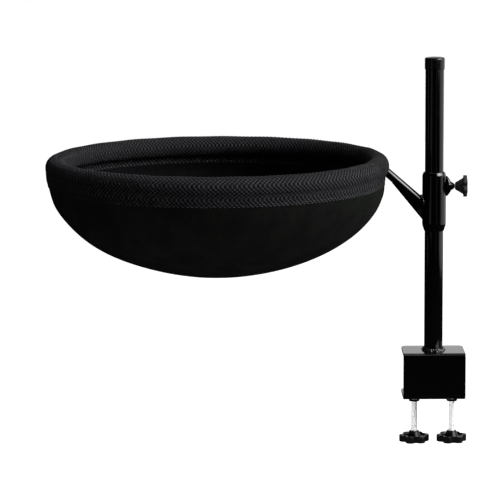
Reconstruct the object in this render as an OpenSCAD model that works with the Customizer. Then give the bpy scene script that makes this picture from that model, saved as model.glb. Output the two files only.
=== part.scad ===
/* [Desk clamp] */
// Width of the clamp bracket along the desk edge
bracket_w = 84; // [70:1:120]
// Depth of the clamp bracket over the desk
bracket_d = 62; // [54:1:90]
// Overall height of the clamp bracket
bracket_h = 63; // [60:1:90]
// Thickness of the bracket plate
plate_t = 4; // [3:0.5:5]
// Inside radius of the two bends
bend_r = 1.5; // [1:0.5:3]
// Radius of the plate corners at the open side
corner_r = 8; // [3:1:12]
// Thickness of the rubber pad under the top plate
pad_t = 3; // [2:0.5:4]
// Margin of bare steel round the pad
pad_margin = 5; // [3:1:8]
// Radius of the pad corners
pad_corner_r = 4; // [2:1:6]

/* [Clamp screws] */
// Distance between the two clamp screws
screw_gap = 51; // [46:1:56]
// Thread diameter of a clamp screw
screw_d = 8; // [6:1:8]
// Thread pitch of a clamp screw
screw_pitch = 1.25; // [1:0.25:1.5]
// Length of screw below the bracket when it is screwed right down
screw_drop = 49; // [46:1:60]
// Clearance hole for a screw in the lower plate
screw_hole_d = 9.2; // [8.8:0.1:10]
// Distance across the flats of a weld nut
nut_af = 14; // [13:0.5:16]
// Height of a weld nut
nut_h = 7.5; // [6:0.5:9]
// Diameter of the neck behind the ball end of a screw
neck_d = 5; // [4:0.5:5]
// Diameter of the ball end of a screw
ball_d = 8; // [7.5:0.1:8]

/* [Pressure discs] */
// Diameter of a pressure disc
disc_d = 28; // [24:1:34]
// Thickness of a pressure disc
disc_t = 3; // [2:0.5:4]
// Diameter of the socket under a disc
socket_d = 14; // [13:0.5:18]
// Height of the socket under a disc
socket_h = 7; // [7:0.5:9]
// Thickness of the rubber face of a disc
disc_pad_t = 2; // [1:0.5:2]
// Margin of bare disc round its rubber face
disc_pad_margin = 1.5; // [1:0.5:3]
// Gap between a lowered disc and the lower plate
disc_rest_gap = 1; // [0.5:0.5:2]

/* [Clamp knobs] */
// Diameter of a clamp knob over its lobes
knob_d = 41; // [34:1:46]
// Number of lobes on each knob
knob_lobes = 6; // [5:1:8]
// Height of the lobed rim of a clamp knob
knob_rim_h = 9; // [7:0.5:12]
// Height of the hub above the lobed rim
knob_hub_h = 5.5; // [3:0.5:8]
// Diameter of the hub at its free end
knob_hub_d = 13; // [12:1:16]
// Diameter of the hub where it meets the rim
knob_hub_base_d = 18; // [16:1:22]
// Depth of the dish between the hub and the lobes
knob_dish = 2; // [1:0.5:3]
// Solid floor of the knob under the screw
knob_floor = 3; // [2:0.5:4]
// Chamfer of the knob edges
knob_edge = 1.5; // [1:0.5:2]

/* [Post] */
// Outside diameter of the post
post_d = 25; // [22:0.5:28]
// Wall of the post tube
post_wall = 1.5; // [1:0.25:2.5]
// Length of the post tube
post_h = 397; // [340:1:500]
// Height of the weld bead round the foot of the post
foot_weld = 5; // [3:0.5:6]
// Wall of the cap that covers the top of the post
cap_wall = 0.9; // [0.6:0.1:1.5]
// Thickness of the top of the cap
cap_t = 2; // [1.5:0.5:4]
// Length of the cap that covers the tube
cap_skirt = 15; // [10:1:25]
// Rounding of the top edge of the cap
cap_round = 2; // [1:0.5:2.5]

/* [Sliding sleeve] */
// Height of the lower end of the sleeve above the desk
sleeve_z = 171; // [165:1:200]
// Length of the sleeve
sleeve_h = 80; // [76:1:110]
// Outside diameter of the sleeve
sleeve_d = 32; // [31:0.5:36]
// Wall of the sleeve tube
sleeve_wall = 2; // [1.5:0.25:2.25]
// Length of the necked lower end of the sleeve
neck_h = 8; // [6:0.5:12]
// Length of the rolled upper end of the sleeve
lip_h = 4; // [3:0.5:6]
// Thickness of the rolled lower edge
lower_edge_t = 0.6; // [0.4:0.1:1]
// Thickness of the rolled upper edge
upper_edge_t = 1.6; // [1:0.1:2]
// Length of each guide bush inside the sleeve
bush_h = 10; // [8:0.5:12]

/* [Sleeve lock] */
// Depth of the lock screw below the top of the sleeve
lock_drop = 19.5; // [19:0.5:21]
// Thread diameter of the lock screw
lock_d = 6; // [5:1:6]
// Thread pitch of the lock screw
lock_pitch = 1; // [0.8:0.1:1.25]
// Distance across the flats of the lock nut
lock_nut_af = 11; // [10:0.5:13]
// How far the lock nut stands out of the sleeve
lock_nut_out = 10.8; // [9:0.2:13]
// Diameter of the chamfered end of the lock nut
lock_nut_end_d = 8.4; // [7.5:0.1:9]
// Length of the chamfer of the lock nut
lock_nut_chamfer = 5; // [3:0.5:6]
// Radius of the boss round the lock nut
lock_boss_r = 14; // [10:0.5:14.5]
// Height of the rim of the boss above the sleeve
lock_boss_rim = 1.2; // [0.8:0.1:2]
// Height of the cone of the boss above the sleeve
lock_boss_h = 6; // [4:0.2:6.6]
// Diameter of the tip that bears on the post
tip_d = 5.2; // [4.4:0.1:5.4]
// Length of the tip
tip_h = 3.5; // [3:0.5:4]
// Diameter of the stub that carries the tip
stub_d = 2.4; // [2:0.1:2.8]
// Length of the stub inside the tip
stub_h = 1.8; // [1.2:0.1:2]
// Gap between the lock nut and the lock knob when tight
lock_gap = 1.4; // [1:0.1:3]
// Length of the lock knob
lock_knob_h = 16; // [13:0.5:20]
// Diameter of the lock knob over its lobes
lock_knob_d = 29; // [24:1:34]
// Thickness of the lobed rim of the lock knob
lock_rim_h = 5; // [4:0.5:7]
// Diameter of the hub of the lock knob
lock_hub_d = 9.4; // [9:0.2:12]

/* [Arm] */
// Diameter of the arm rod
arm_d = 12; // [9:0.5:13]
// Slope of the arm rod below the level
arm_slope = 41; // [38:0.2:44]
// Thickness of the gusset plate
gusset_t = 4; // [3:0.5:6]
// Depth of the gusset below the rod at the sleeve
gusset_drop = 15; // [10:0.5:18]
// Clearance between the rim and the point of the gusset
gusset_gap = 2.25; // [1:0.25:12]
// Radius of the weld round the arm at the sleeve
arm_weld_r = 9.5; // [8:0.5:11]
// Length of the weld along the arm
arm_weld_h = 7; // [5:0.5:9]

/* [Hoop] */
// Distance from the post's axis to the nearest point of the hoop
hoop_reach = 74.8; // [68:0.1:110]
// Height of the hoop above the lower end of the sleeve
hoop_rise = 89.5; // [87:0.5:93]
// Radius of the hoop, centre to middle of the rod
hoop_r = 216.7; // [200:0.1:225]
// Diameter of the hoop rod
hoop_d = 10; // [8:0.5:12]
// Outside diameter of the foam tube on the hoop
foam_d = 25.5; // [22:0.5:28]
// Thickness of the webbing casing
casing_t = 1.5; // [1:0.1:2]
// Depth of the casing below the hoop
casing_drop = 24; // [20:1:30]
// Clearance round the arm where it leaves the rim
arm_gap = 0.3; // [0.2:0.1:1]

/* [Bowl] */
// How far the bowl wall starts inside the outer face of the foam
bowl_inset = 0.25; // [0:0.05:2]
// Depth of the bowl below the hoop
bowl_depth = 146; // [130:1:160]
// Thickness of the outer fabric
fabric_t = 1.4; // [1:0.1:2]
// Thickness of the padding
padding_t = 4.2; // [3:0.1:6]
// Thickness of the lining
lining_t = 1.2; // [0.8:0.1:2]

/* [Hidden] */

// Facets of the round parts
round_n = 96;
// Points along the profile of the bowl
bowl_n = 26;
// Overrun of a cut past the face that it opens
cut = 1;
// Running clearance of a shaft in its bore, on the radius
run_gap = 0.05;
// Running clearance of a ball in its socket, on the radius
ball_gap = 0.1;
// End play of a bush inside the sleeve
bush_gap = 0.1;
// Gap that keeps a turning end clear of its neighbour
end_gap = 0.6;
// Exponents of the bowl profile, as shares of a plain ellipse
bowl_fall_share = 2.26;
bowl_belly_share = 1.83;
// Place of the notches between the lobes of a knob
lobe_share = 0.3;
core_share = 0.76;
// Turn of the lobes towards the front
lobe_turn_share = 0.1;
// Reach of the dish in a knob
dish_share = 0.72;

// Heights of the bracket
top_z = pad_t + plate_t;
low_z = top_z - bracket_h;
low_top_z = low_z + plate_t;
front_y = -bracket_d / 2;
back_y = bracket_d / 2;
bend_out = bend_r + plate_t;

// Clamp screw and pressure disc
shaft_r = screw_d / 2 - run_gap;
socket_z = low_top_z + disc_rest_gap;
disc_z = socket_z + socket_h;
disc_pad_z = disc_z + disc_t;
ball_r = ball_d / 2;
ball_room_r = ball_r + ball_gap;
ball_z = disc_z - ball_room_r - run_gap;
knob_top_z = low_z - screw_drop;
knob_h = knob_rim_h + knob_hub_h;
knob_z = knob_top_z - knob_h;
screw_end_z = knob_z + knob_floor;

// Post and cap
post_r = post_d / 2;
post_top_z = top_z + post_h;
cap_r = post_r + cap_wall;

// Sleeve and bushes
sleeve_r = sleeve_d / 2;
sleeve_in_r = sleeve_r - sleeve_wall;
sleeve_top_z = sleeve_z + sleeve_h;
slide_r = post_r + run_gap;
bush_r = sleeve_in_r - run_gap;
neck_floor = neck_h - sleeve_wall / 2;
lip_floor = lip_h - sleeve_wall;

// Lock
lock_z = sleeve_top_z - lock_drop;
lock_r = lock_d / 2 - run_gap;
lock_bore_r = lock_d / 2;
lock_nut_x = sleeve_r + lock_nut_out;
lock_nut_corner_r = lock_nut_af / 2 / cos(30);
tip_r = tip_d / 2;
tip_x = post_r + run_gap;
tip_back_x = tip_x + tip_h;
lock_knob_x = lock_nut_x + lock_gap;
lock_end_x = lock_knob_x + lock_knob_h;

// Hoop, casing and bowl
hoop_x = hoop_r + hoop_reach;
hoop_z = sleeve_z + hoop_rise;
foam_r = foam_d / 2;
rim_r = foam_r + casing_t;
arm_r = arm_d / 2;
bowl_r = hoop_r + foam_r - bowl_inset;
padding_off = fabric_t;
lining_off = fabric_t + padding_t;
inner_off = fabric_t + padding_t + lining_t;

// Radius of the bowl at a share of its depth, for a skin set in by off
function bowl_at(share, off) =
    (bowl_r - off) * pow(1 - pow(share, bowl_fall_share), 1 / bowl_belly_share);

// Profile of a skin from the level of the hoop down to the axis
function bowl_line(off) = [for (i = [0 : bowl_n])
    let (share = sin(90 * i / bowl_n))
    [i == bowl_n ? 0 : bowl_at(share, off), -(bowl_depth - off) * share]];

function reversed(list) = [for (i = [len(list) - 1 : -1 : 0]) list[i]];

// Regular hexagonal prism given by the distance across its flats
module hex_bar(af, h) {
    cylinder(r = af / 2 / cos(30), h = h, $fn = 6);
}

// Ring of material between two radii
module ring(outer_r, inner_r, h) {
    difference() {
        cylinder(r = outer_r, h = h, $fn = round_n);
        translate([0, 0, -cut])
            cylinder(r = inner_r, h = h + 2 * cut, $fn = round_n);
    }
}

// Rectangle with round corners, centred
module round_rect(w, d, r) {
    union() {
        square([w, d - 2 * r], center = true);
        square([w - 2 * r, d], center = true);
        for (x = [-1, 1], y = [-1, 1])
            translate([x * (w / 2 - r), y * (d / 2 - r)])
                circle(r = r, $fn = round_n);
    }
}

// One bend of the bracket section, its centre at the origin
module bend(quadrant_y, quadrant_z) {
    intersection() {
        difference() {
            circle(r = bend_out, $fn = round_n);
            circle(r = bend_r, $fn = round_n);
        }
        translate([quadrant_y * bend_out / 2, quadrant_z * bend_out / 2])
            square([bend_out, bend_out], center = true);
    }
}

// Section of the bracket in the depth and height plane
module bracket_section() {
    union() {
        translate([front_y + bend_out, top_z - plate_t])
            square([bracket_d - bend_out, plate_t]);
        translate([front_y + bend_out, low_z])
            square([bracket_d - bend_out, plate_t]);
        translate([front_y, low_z + bend_out])
            square([plate_t, bracket_h - 2 * bend_out]);
        translate([front_y + bend_out, top_z - bend_out])
            bend(-1, 1);
        translate([front_y + bend_out, low_z + bend_out])
            bend(-1, -1);
    }
}

// Waste outside one rounded corner at the open side of the bracket
module corner_waste(side) {
    translate([side * (bracket_w / 2 - corner_r), back_y - corner_r, low_z - cut])
        linear_extrude(bracket_h + 2 * cut)
            difference() {
                translate([side > 0 ? 0 : -corner_r - cut, 0])
                    square([corner_r + cut, corner_r + cut]);
                circle(r = corner_r, $fn = round_n);
            }
}

module clamp_bracket() {
    color("#15161a")
        difference() {
            translate([-bracket_w / 2, 0, 0])
                rotate([90, 0, 90])
                    linear_extrude(bracket_w)
                        bracket_section();
            corner_waste(1);
            corner_waste(-1);
            for (side = [-1, 1])
                translate([side * screw_gap / 2, 0, low_z - cut])
                    cylinder(d = screw_hole_d, h = plate_t + 2 * cut, $fn = round_n);
        }
}

module top_pad() {
    pad_w = bracket_w - 2 * pad_margin;
    pad_d = bracket_d - bend_out - 2 * pad_margin;
    color("#1d1d1f")
        translate([0, bend_out / 2, 0])
            linear_extrude(pad_t)
                round_rect(pad_w, pad_d, pad_corner_r);
}

// Weld nut under the lower plate
module weld_nut(side) {
    color("#17181c")
        translate([side * screw_gap / 2, 0, low_z - nut_h])
            difference() {
                hex_bar(nut_af, nut_h);
                translate([0, 0, -cut])
                    cylinder(d = screw_d, h = nut_h + 2 * cut, $fn = round_n);
            }
}

module weld_nut_left() {
    weld_nut(-1);
}

module weld_nut_right() {
    weld_nut(1);
}

module post_tube() {
    color("#0f1013")
        translate([0, 0, top_z])
            ring(post_r, post_r - post_wall, post_h);
}

// Rounded weld bead round the foot of the post
module post_weld() {
    color("#131418")
        translate([0, 0, top_z])
            rotate_extrude($fn = round_n)
                intersection() {
                    translate([post_r, 0])
                        square([foot_weld, foot_weld]);
                    translate([post_r, 0])
                        circle(r = foot_weld, $fn = round_n);
                }
}

module post_cap() {
    color("#121316")
        translate([0, 0, post_top_z - cap_skirt])
            difference() {
                rotate_extrude($fn = round_n)
                    union() {
                        square([cap_r, cap_skirt + cap_t - cap_round]);
                        square([cap_r - cap_round, cap_skirt + cap_t]);
                        translate([cap_r - cap_round, cap_skirt + cap_t - cap_round])
                            intersection() {
                                circle(r = cap_round, $fn = round_n);
                                square([cap_round, cap_round]);
                            }
                    }
                translate([0, 0, -cut])
                    cylinder(r = post_r, h = cap_skirt + cut, $fn = round_n);
            }
}

// Clamp screw with its thread's run-out, one pitch long, its neck and its ball end
module clamp_screw(side) {
    neck_z = socket_z - end_gap;
    color("#d4d7da")
        translate([side * screw_gap / 2, 0, 0])
            union() {
                translate([0, 0, screw_end_z])
                    cylinder(r = shaft_r, h = neck_z - screw_pitch - screw_end_z, $fn = round_n);
                translate([0, 0, neck_z - screw_pitch])
                    cylinder(r1 = shaft_r, r2 = neck_d / 2, h = screw_pitch, $fn = round_n);
                translate([0, 0, neck_z])
                    cylinder(d = neck_d, h = ball_z - neck_z, $fn = round_n);
                translate([0, 0, ball_z])
                    sphere(r = ball_r, $fn = round_n);
            }
}

module screw_left() {
    clamp_screw(-1);
}

module screw_right() {
    clamp_screw(1);
}

// Outline of a lobed knob
module lobed_outline(d, lobes) {
    lobe_r = d / 2 * lobe_share;
    union() {
        circle(d = d * core_share, $fn = round_n);
        for (i = [0 : lobes - 1])
            rotate([0, 0, 360 / lobes * (i + lobe_turn_share)])
                translate([d / 2 - lobe_r, 0])
                    circle(r = lobe_r, $fn = round_n);
    }
}

// Knob with its lobed rim at the bottom and its hub on top
module lobed_knob(d, rim_h, hub_h, hub_d, hub_base_d, dish, shaft, blind) {
    dish_r = d / 2 * dish_share;
    difference() {
        union() {
            difference() {
                intersection() {
                    linear_extrude(rim_h)
                        lobed_outline(d, knob_lobes);
                    rotate_extrude($fn = round_n)
                        polygon([[0, 0], [d / 2 - knob_edge, 0], [d / 2, knob_edge],
                            [d / 2, rim_h - knob_edge], [d / 2 - knob_edge, rim_h], [0, rim_h]]);
                }
                translate([0, 0, rim_h - dish])
                    cylinder(r = dish_r, h = dish + cut, $fn = round_n);
            }
            translate([0, 0, rim_h - dish])
                cylinder(d1 = hub_base_d, d2 = hub_d, h = hub_h + dish, $fn = round_n);
        }
        translate([0, 0, blind])
            cylinder(r = shaft, h = rim_h + hub_h - blind + cut, $fn = round_n);
    }
}

module clamp_knob(side) {
    color("#17181a")
        translate([side * screw_gap / 2, 0, knob_z])
            lobed_knob(knob_d, knob_rim_h, knob_hub_h, knob_hub_d, knob_hub_base_d,
                knob_dish, shaft_r, knob_floor);
}

module knob_left() {
    clamp_knob(-1);
}

module knob_right() {
    clamp_knob(1);
}

// Pressure disc with the socket for the ball end
module pressure_disc(side) {
    color("#b9bcc0")
        translate([side * screw_gap / 2, 0, 0])
            difference() {
                union() {
                    translate([0, 0, socket_z])
                        cylinder(d = socket_d, h = socket_h + disc_t, $fn = round_n);
                    translate([0, 0, disc_z])
                        cylinder(d = disc_d, h = disc_t, $fn = round_n);
                }
                translate([0, 0, ball_z])
                    sphere(r = ball_room_r, $fn = round_n);
                translate([0, 0, socket_z - cut])
                    cylinder(d = neck_d + 2 * end_gap, h = ball_z - socket_z + cut, $fn = round_n);
            }
}

module disc_left() {
    pressure_disc(-1);
}

module disc_right() {
    pressure_disc(1);
}

// Rubber face of a pressure disc
module disc_pad(side) {
    color("#1d1d1f")
        translate([side * screw_gap / 2, 0, disc_pad_z])
            cylinder(d = disc_d - 2 * disc_pad_margin, h = disc_pad_t, $fn = round_n);
}

module disc_pad_left() {
    disc_pad(-1);
}

module disc_pad_right() {
    disc_pad(1);
}

module bush_upper() {
    color("#26272b")
        translate([0, 0, sleeve_top_z - lip_floor - bush_gap - bush_h])
            ring(bush_r, slide_r, bush_h);
}

module bush_lower() {
    color("#26272b")
        translate([0, 0, sleeve_z + neck_floor + bush_gap])
            ring(bush_r, slide_r, bush_h);
}

// Section of the sleeve, from its necked foot to its rolled lip
module sleeve_section() {
    polygon([
        [slide_r, 0], [slide_r + lower_edge_t, 0], [sleeve_r, neck_h],
        [sleeve_r, sleeve_h - lip_h], [slide_r + upper_edge_t, sleeve_h], [slide_r, sleeve_h],
        [slide_r, sleeve_h - lip_floor], [sleeve_in_r, sleeve_h - lip_floor],
        [sleeve_in_r, neck_floor], [slide_r, neck_floor - sleeve_wall]]);
}

module sleeve_tube() {
    color("#0f1013")
        difference() {
            translate([0, 0, sleeve_z])
                rotate_extrude($fn = round_n)
                    sleeve_section();
            translate([0, 0, lock_z])
                rotate([0, 90, 0])
                    cylinder(r = lock_bore_r, h = sleeve_r + cut, $fn = round_n);
        }
}

// Body of the sleeve that the welded pieces are cut to
module sleeve_body() {
    translate([0, 0, sleeve_z])
        cylinder(r = sleeve_r, h = sleeve_h, $fn = round_n);
}

// Outline of the lock nut along its own axis
module lock_nut_solid() {
    chamfer_x = lock_nut_x - lock_nut_chamfer;
    intersection() {
        hex_bar(lock_nut_af, lock_nut_x);
        rotate_extrude($fn = round_n)
            polygon([[0, 0], [lock_nut_corner_r + cut, 0], [lock_nut_corner_r + cut, chamfer_x],
                [lock_nut_corner_r, chamfer_x], [lock_nut_end_d / 2, lock_nut_x], [0, lock_nut_x]]);
    }
}

module lock_nut() {
    color("#17181c")
        difference() {
            translate([0, 0, lock_z])
                rotate([0, 90, 0])
                    difference() {
                        lock_nut_solid();
                        cylinder(r = lock_bore_r, h = lock_nut_x + cut, $fn = round_n);
                    }
            sleeve_body();
        }
}

// Conical boss welded to the sleeve round the lock nut
module lock_boss() {
    color("#131418")
        difference() {
            translate([0, 0, lock_z])
                rotate([0, 90, 0])
                    difference() {
                        rotate_extrude($fn = round_n)
                            polygon([[0, 0], [lock_boss_r, 0], [lock_boss_r, sleeve_r + lock_boss_rim],
                                [lock_nut_corner_r, sleeve_r + lock_boss_h], [0, sleeve_r + lock_boss_h]]);
                        lock_nut_solid();
                    }
            sleeve_body();
        }
}

module lock_tip() {
    color("#c8a24a")
        translate([tip_x, 0, lock_z])
            rotate([0, 90, 0])
                difference() {
                    cylinder(r = tip_r, h = tip_h, $fn = round_n);
                    translate([0, 0, tip_h - stub_h - run_gap])
                        cylinder(r = stub_d / 2 + run_gap, h = stub_h + cut, $fn = round_n);
                }
}

// Lock screw with the chamfer of its thread's start, one pitch long
module lock_screw() {
    start_x = tip_back_x + run_gap;
    color("#d4d7da")
        translate([0, 0, lock_z])
            rotate([0, 90, 0])
                union() {
                    translate([0, 0, start_x])
                        cylinder(r1 = lock_r - lock_pitch / 2, r2 = lock_r, h = lock_pitch,
                            $fn = round_n);
                    translate([0, 0, start_x + lock_pitch])
                        cylinder(r = lock_r, h = lock_end_x - knob_floor - start_x - lock_pitch,
                            $fn = round_n);
                    translate([0, 0, tip_back_x - stub_h])
                        cylinder(d = stub_d, h = stub_h + run_gap, $fn = round_n);
                }
}

module lock_knob() {
    color("#17181a")
        translate([lock_end_x, 0, lock_z])
            rotate([0, -90, 0])
                lobed_knob(lock_knob_d, lock_rim_h, lock_knob_h - lock_rim_h, lock_hub_d,
                    lock_knob_d * core_share, 0, lock_r, knob_floor);
}

// Places a shape made along +Z on the axis of the arm, from the hoop outwards
module along_arm() {
    translate([-hoop_reach, 0, hoop_z])
        rotate([0, 90 + arm_slope, 0])
            children();
}

module arm_bar(r) {
    along_arm()
        cylinder(r = r, h = hoop_reach / cos(arm_slope), $fn = round_n);
}

module hoop_ring(r) {
    translate([-hoop_x, 0, hoop_z])
        rotate_extrude($fn = round_n)
            translate([hoop_r, 0])
                circle(r = r, $fn = round_n);
}

module arm_rod() {
    color("#0f1013")
        difference() {
            arm_bar(arm_r);
            hoop_ring(hoop_d / 2);
            sleeve_body();
        }
}

// Height of the middle of the arm at a given place along X
function arm_z(x) = hoop_z - (x + hoop_reach) * tan(arm_slope);

// Gusset before it is cut to the rod and the sleeve
module gusset_blank() {
    tip = rim_r + gusset_gap - hoop_reach;
    below = arm_r / cos(arm_slope);
    translate([0, gusset_t / 2, 0])
        rotate([90, 0, 0])
            linear_extrude(gusset_t)
                polygon([[tip, arm_z(tip)], [tip, arm_z(tip) - below],
                    [-sleeve_r, arm_z(-sleeve_r) - below - gusset_drop],
                    [0, arm_z(-sleeve_r) - below - gusset_drop], [0, arm_z(0)]]);
}

module gusset_plate() {
    color("#131418")
        difference() {
            gusset_blank();
            arm_bar(arm_r);
            sleeve_body();
        }
}

// Weld round the arm where it meets the sleeve
module arm_weld() {
    reach = hoop_reach / cos(arm_slope);
    wall = sleeve_r / cos(arm_slope);
    color("#131418")
        difference() {
            along_arm()
                translate([0, 0, reach - wall - arm_weld_h])
                    rotate_extrude($fn = round_n)
                        polygon([[0, 0], [arm_r, 0], [arm_weld_r, arm_weld_h],
                            [arm_weld_r, arm_weld_h + wall], [0, arm_weld_h + wall]]);
            arm_bar(arm_r);
            gusset_blank();
            sleeve_body();
        }
}

module hoop_rod() {
    color("#15161a")
        hoop_ring(hoop_d / 2);
}

module rim_foam() {
    color("#2b2b2d")
        difference() {
            hoop_ring(foam_r);
            hoop_ring(hoop_d / 2);
            arm_bar(arm_r + arm_gap);
        }
}

// Section of the bowl wall between two offsets, from the hoop down
module wall_section(outer_off, inner_off) {
    polygon(concat(bowl_line(outer_off), reversed(bowl_line(inner_off))));
}

// Section of one skin of the bowl, cut to the underside of the rim
module skin_section(outer_off, inner_off) {
    difference() {
        wall_section(outer_off, inner_off);
        translate([hoop_r, 0])
            circle(r = rim_r, $fn = round_n);
    }
}

module bowl_skin(outer_off, inner_off) {
    difference() {
        translate([-hoop_x, 0, hoop_z])
            rotate_extrude($fn = round_n)
                skin_section(outer_off, inner_off);
        arm_bar(arm_r + arm_gap);
    }
}

// Section of the two legs of the casing, down both faces of the wall
module casing_legs() {
    intersection() {
        wall_section(-casing_t, inner_off + casing_t);
        translate([hoop_r - rim_r, -casing_drop])
            square([2 * rim_r, casing_drop - casing_t]);
    }
}

// Webbing folded over the foam and down both faces of the bowl wall
module rim_casing() {
    color("#26272c")
        difference() {
            union() {
                hoop_ring(rim_r);
                translate([-hoop_x, 0, hoop_z])
                    rotate_extrude($fn = round_n)
                        casing_legs();
            }
            hoop_ring(foam_r);
            translate([-hoop_x, 0, hoop_z])
                rotate_extrude($fn = round_n)
                    skin_section(0, inner_off);
            arm_bar(arm_r + arm_gap);
        }
}

module bowl_fabric() {
    color("#1a1c1b")
        bowl_skin(0, padding_off);
}

module bowl_padding() {
    color("#3a3a3c")
        bowl_skin(padding_off, lining_off);
}

module bowl_lining() {
    color("#222226")
        bowl_skin(lining_off, inner_off);
}

clamp_bracket();
top_pad();
weld_nut_left();
weld_nut_right();
post_tube();
post_weld();
post_cap();
screw_left();
screw_right();
knob_left();
knob_right();
disc_left();
disc_right();
disc_pad_left();
disc_pad_right();
bush_upper();
bush_lower();
sleeve_tube();
lock_nut();
lock_boss();
lock_tip();
lock_screw();
lock_knob();
arm_rod();
gusset_plate();
arm_weld();
hoop_rod();
rim_foam();
rim_casing();
bowl_fabric();
bowl_padding();
bowl_lining();
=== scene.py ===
"""Desk-mounted cat bed: the shapes and finishes built round the packed frame.

A padded cloth bowl hangs in a webbing-covered hoop. An arm joins the hoop to a sleeve that slides
and turns on a post, and the post stands on a C-shaped clamp with two hand screws.
"""
import math

import bmesh
import bpy
import numpy as np
from bpy.props import FloatProperty, FloatVectorProperty, IntProperty
from bpy.props import PointerProperty, StringProperty
from bpy.types import Node, NodeSocket, Operator, Panel, PropertyGroup
from mathutils import Matrix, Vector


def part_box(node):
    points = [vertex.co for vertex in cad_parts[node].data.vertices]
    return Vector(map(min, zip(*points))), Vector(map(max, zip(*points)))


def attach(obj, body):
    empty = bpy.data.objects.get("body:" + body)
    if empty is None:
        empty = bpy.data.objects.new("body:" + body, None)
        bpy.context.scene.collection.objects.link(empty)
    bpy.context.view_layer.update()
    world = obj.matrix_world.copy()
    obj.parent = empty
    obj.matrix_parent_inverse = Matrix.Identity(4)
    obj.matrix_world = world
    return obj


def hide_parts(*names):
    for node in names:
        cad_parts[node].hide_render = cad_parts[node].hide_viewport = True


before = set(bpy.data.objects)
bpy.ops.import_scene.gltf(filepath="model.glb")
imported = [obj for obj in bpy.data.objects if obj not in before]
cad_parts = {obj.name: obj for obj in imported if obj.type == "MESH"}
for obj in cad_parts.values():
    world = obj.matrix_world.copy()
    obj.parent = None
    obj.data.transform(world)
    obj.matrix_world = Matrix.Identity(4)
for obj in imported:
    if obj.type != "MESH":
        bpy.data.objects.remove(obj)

bl_info = {
    "name": "Desk-mounted cat bed",
    "version": (1, 0, 0),
    "blender": (4, 5, 0),
    "location": "3D Viewport > Sidebar > Cat Bed",
    "description": "Builds a padded bowl on a hoop, its sliding sleeve, post and desk clamp",
    "category": "Add Mesh",
}

MM = 0.001
TURN = 2 * math.pi
QUARTER = math.pi / 2
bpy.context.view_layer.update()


# ---------------------------------------------------------------- places taken from the frame


def node_box(name):
    """Lowest and highest corner of a CAD node, as two arrays in metres."""
    return [np.array(corner, float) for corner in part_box(name)]


TUBE_LOW, TUBE_HIGH = node_box("post_tube")
SLEEVE_LOW, SLEEVE_HIGH = node_box("sleeve_tube")
BRACKET_LOW, BRACKET_HIGH = node_box("clamp_bracket")
HOOP_X, _, HOOP_Z = sum(node_box("hoop_rod")) / 2

HOOP_MIDDLE = np.array([HOOP_X, 0, HOOP_Z])

# Depths below the hoop: the drawn-in waist, the skins' top edge, and the end of the sewn part
WAIST_BAND, SKIN_TOP, SEWN_DEPTH = 14 * MM, 12 * MM, 26 * MM
# The stitches stand this far above the webbing's lower edge, in a dip of this depth and width
SEAM_INSET, SEAM_DIP, SEAM_WIDTH = 3.2 * MM, 0.7 * MM, 1.6 * MM
# Towards its lower edge the webbing thins by a share over a band
EDGE_BAND, EDGE_THINNING = 8 * MM, 0.45
LOBE_BLEND = 26  # power of the mean that joins a knob's lobes to its core
# Grid steps for each lobe of a knob, turn of a thread, rib of the webbing and ripple of the weld
LOBE_STEPS, THREAD_STEPS, RIB_STEPS, RIPPLE_STEPS = 36, 14, 6, 12
SETTLE_FRAMES = 20


# ---------------------------------------------------------------- settings


def in_mm(name, description, default):
    """Length setting whose default is given in millimetres."""
    return FloatProperty(name=name, description=description, default=default * MM, unit="LENGTH")


def in_degrees(name, description, default):
    """Angle setting whose default is given in degrees."""
    angle = math.radians(default)
    return FloatProperty(name=name, description=description, default=angle, subtype="ANGLE")


def as_share(name, description, default):
    """Setting that is a share of a whole."""
    return FloatProperty(name=name, description=description, default=default, subtype="FACTOR")


def as_number(name, description, default):
    """Setting that is a plain number."""
    return FloatProperty(name=name, description=description, default=default)


def as_count(name, description, default):
    """Setting that is a whole number."""
    return IntProperty(name=name, description=description, default=default)


def as_hex(name, description, default):
    """Colour setting, as sRGB hex."""
    return StringProperty(name=name, description=description, default=default)


class ClampSizes(PropertyGroup):
    """Sizes of the desk clamp and its screws."""

    edge_round: in_mm("Edge round", "Rounding of the bracket's plate edges", 0.7)
    corner_radius: in_mm("Corner radius", "Plan radius of the corners at the open side", 8)
    bend_radius: in_mm("Bend radius", "Inside radius of the two bends", 1.5)
    plate: in_mm("Plate", "Thickness of the bracket's plate", 4)
    thread_pitch: in_mm("Thread pitch", "Pitch of the clamp screws", 1.25)
    lock_pitch: in_mm("Lock pitch", "Pitch of the lock screw", 1)
    weld_ripples: as_count("Weld ripples", "Ripples in the weld round the foot of the post", 26)


class KnobSizes(PropertyGroup):
    """Sizes of the lobed knobs."""

    lobes: as_count("Lobes", "Number of lobes on each knob", 6)
    lobe_share: as_share("Lobe share", "Radius of a lobe as a share of the knob's radius", 0.3)
    core_share: as_share("Core share", "Depth of the notches as a share of the knob's radius", 0.76)
    lobe_turn: in_degrees("Lobe turn", "Turn of the lobes at rest", 6)


class ArmSizes(PropertyGroup):
    """Sizes of the arm and its gusset."""

    reach: in_mm("Reach", "Distance from the post's axis to the nearest point of the hoop", 74.8)
    slope: in_degrees("Slope", "Slope of the rod below the level", 41)
    rod_radius: in_mm("Rod radius", "Radius of the arm rod", 6)
    plate: in_mm("Plate", "Thickness of the gusset plate", 4)
    point: in_mm("Point", "Distance from the hoop to the point of the gusset", 16.5)
    drop: in_mm("Drop", "Depth of the gusset below the rod at the sleeve", 15)
    weld: in_mm("Weld", "Radius of the weld bead round the rod at the sleeve", 3)


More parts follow.
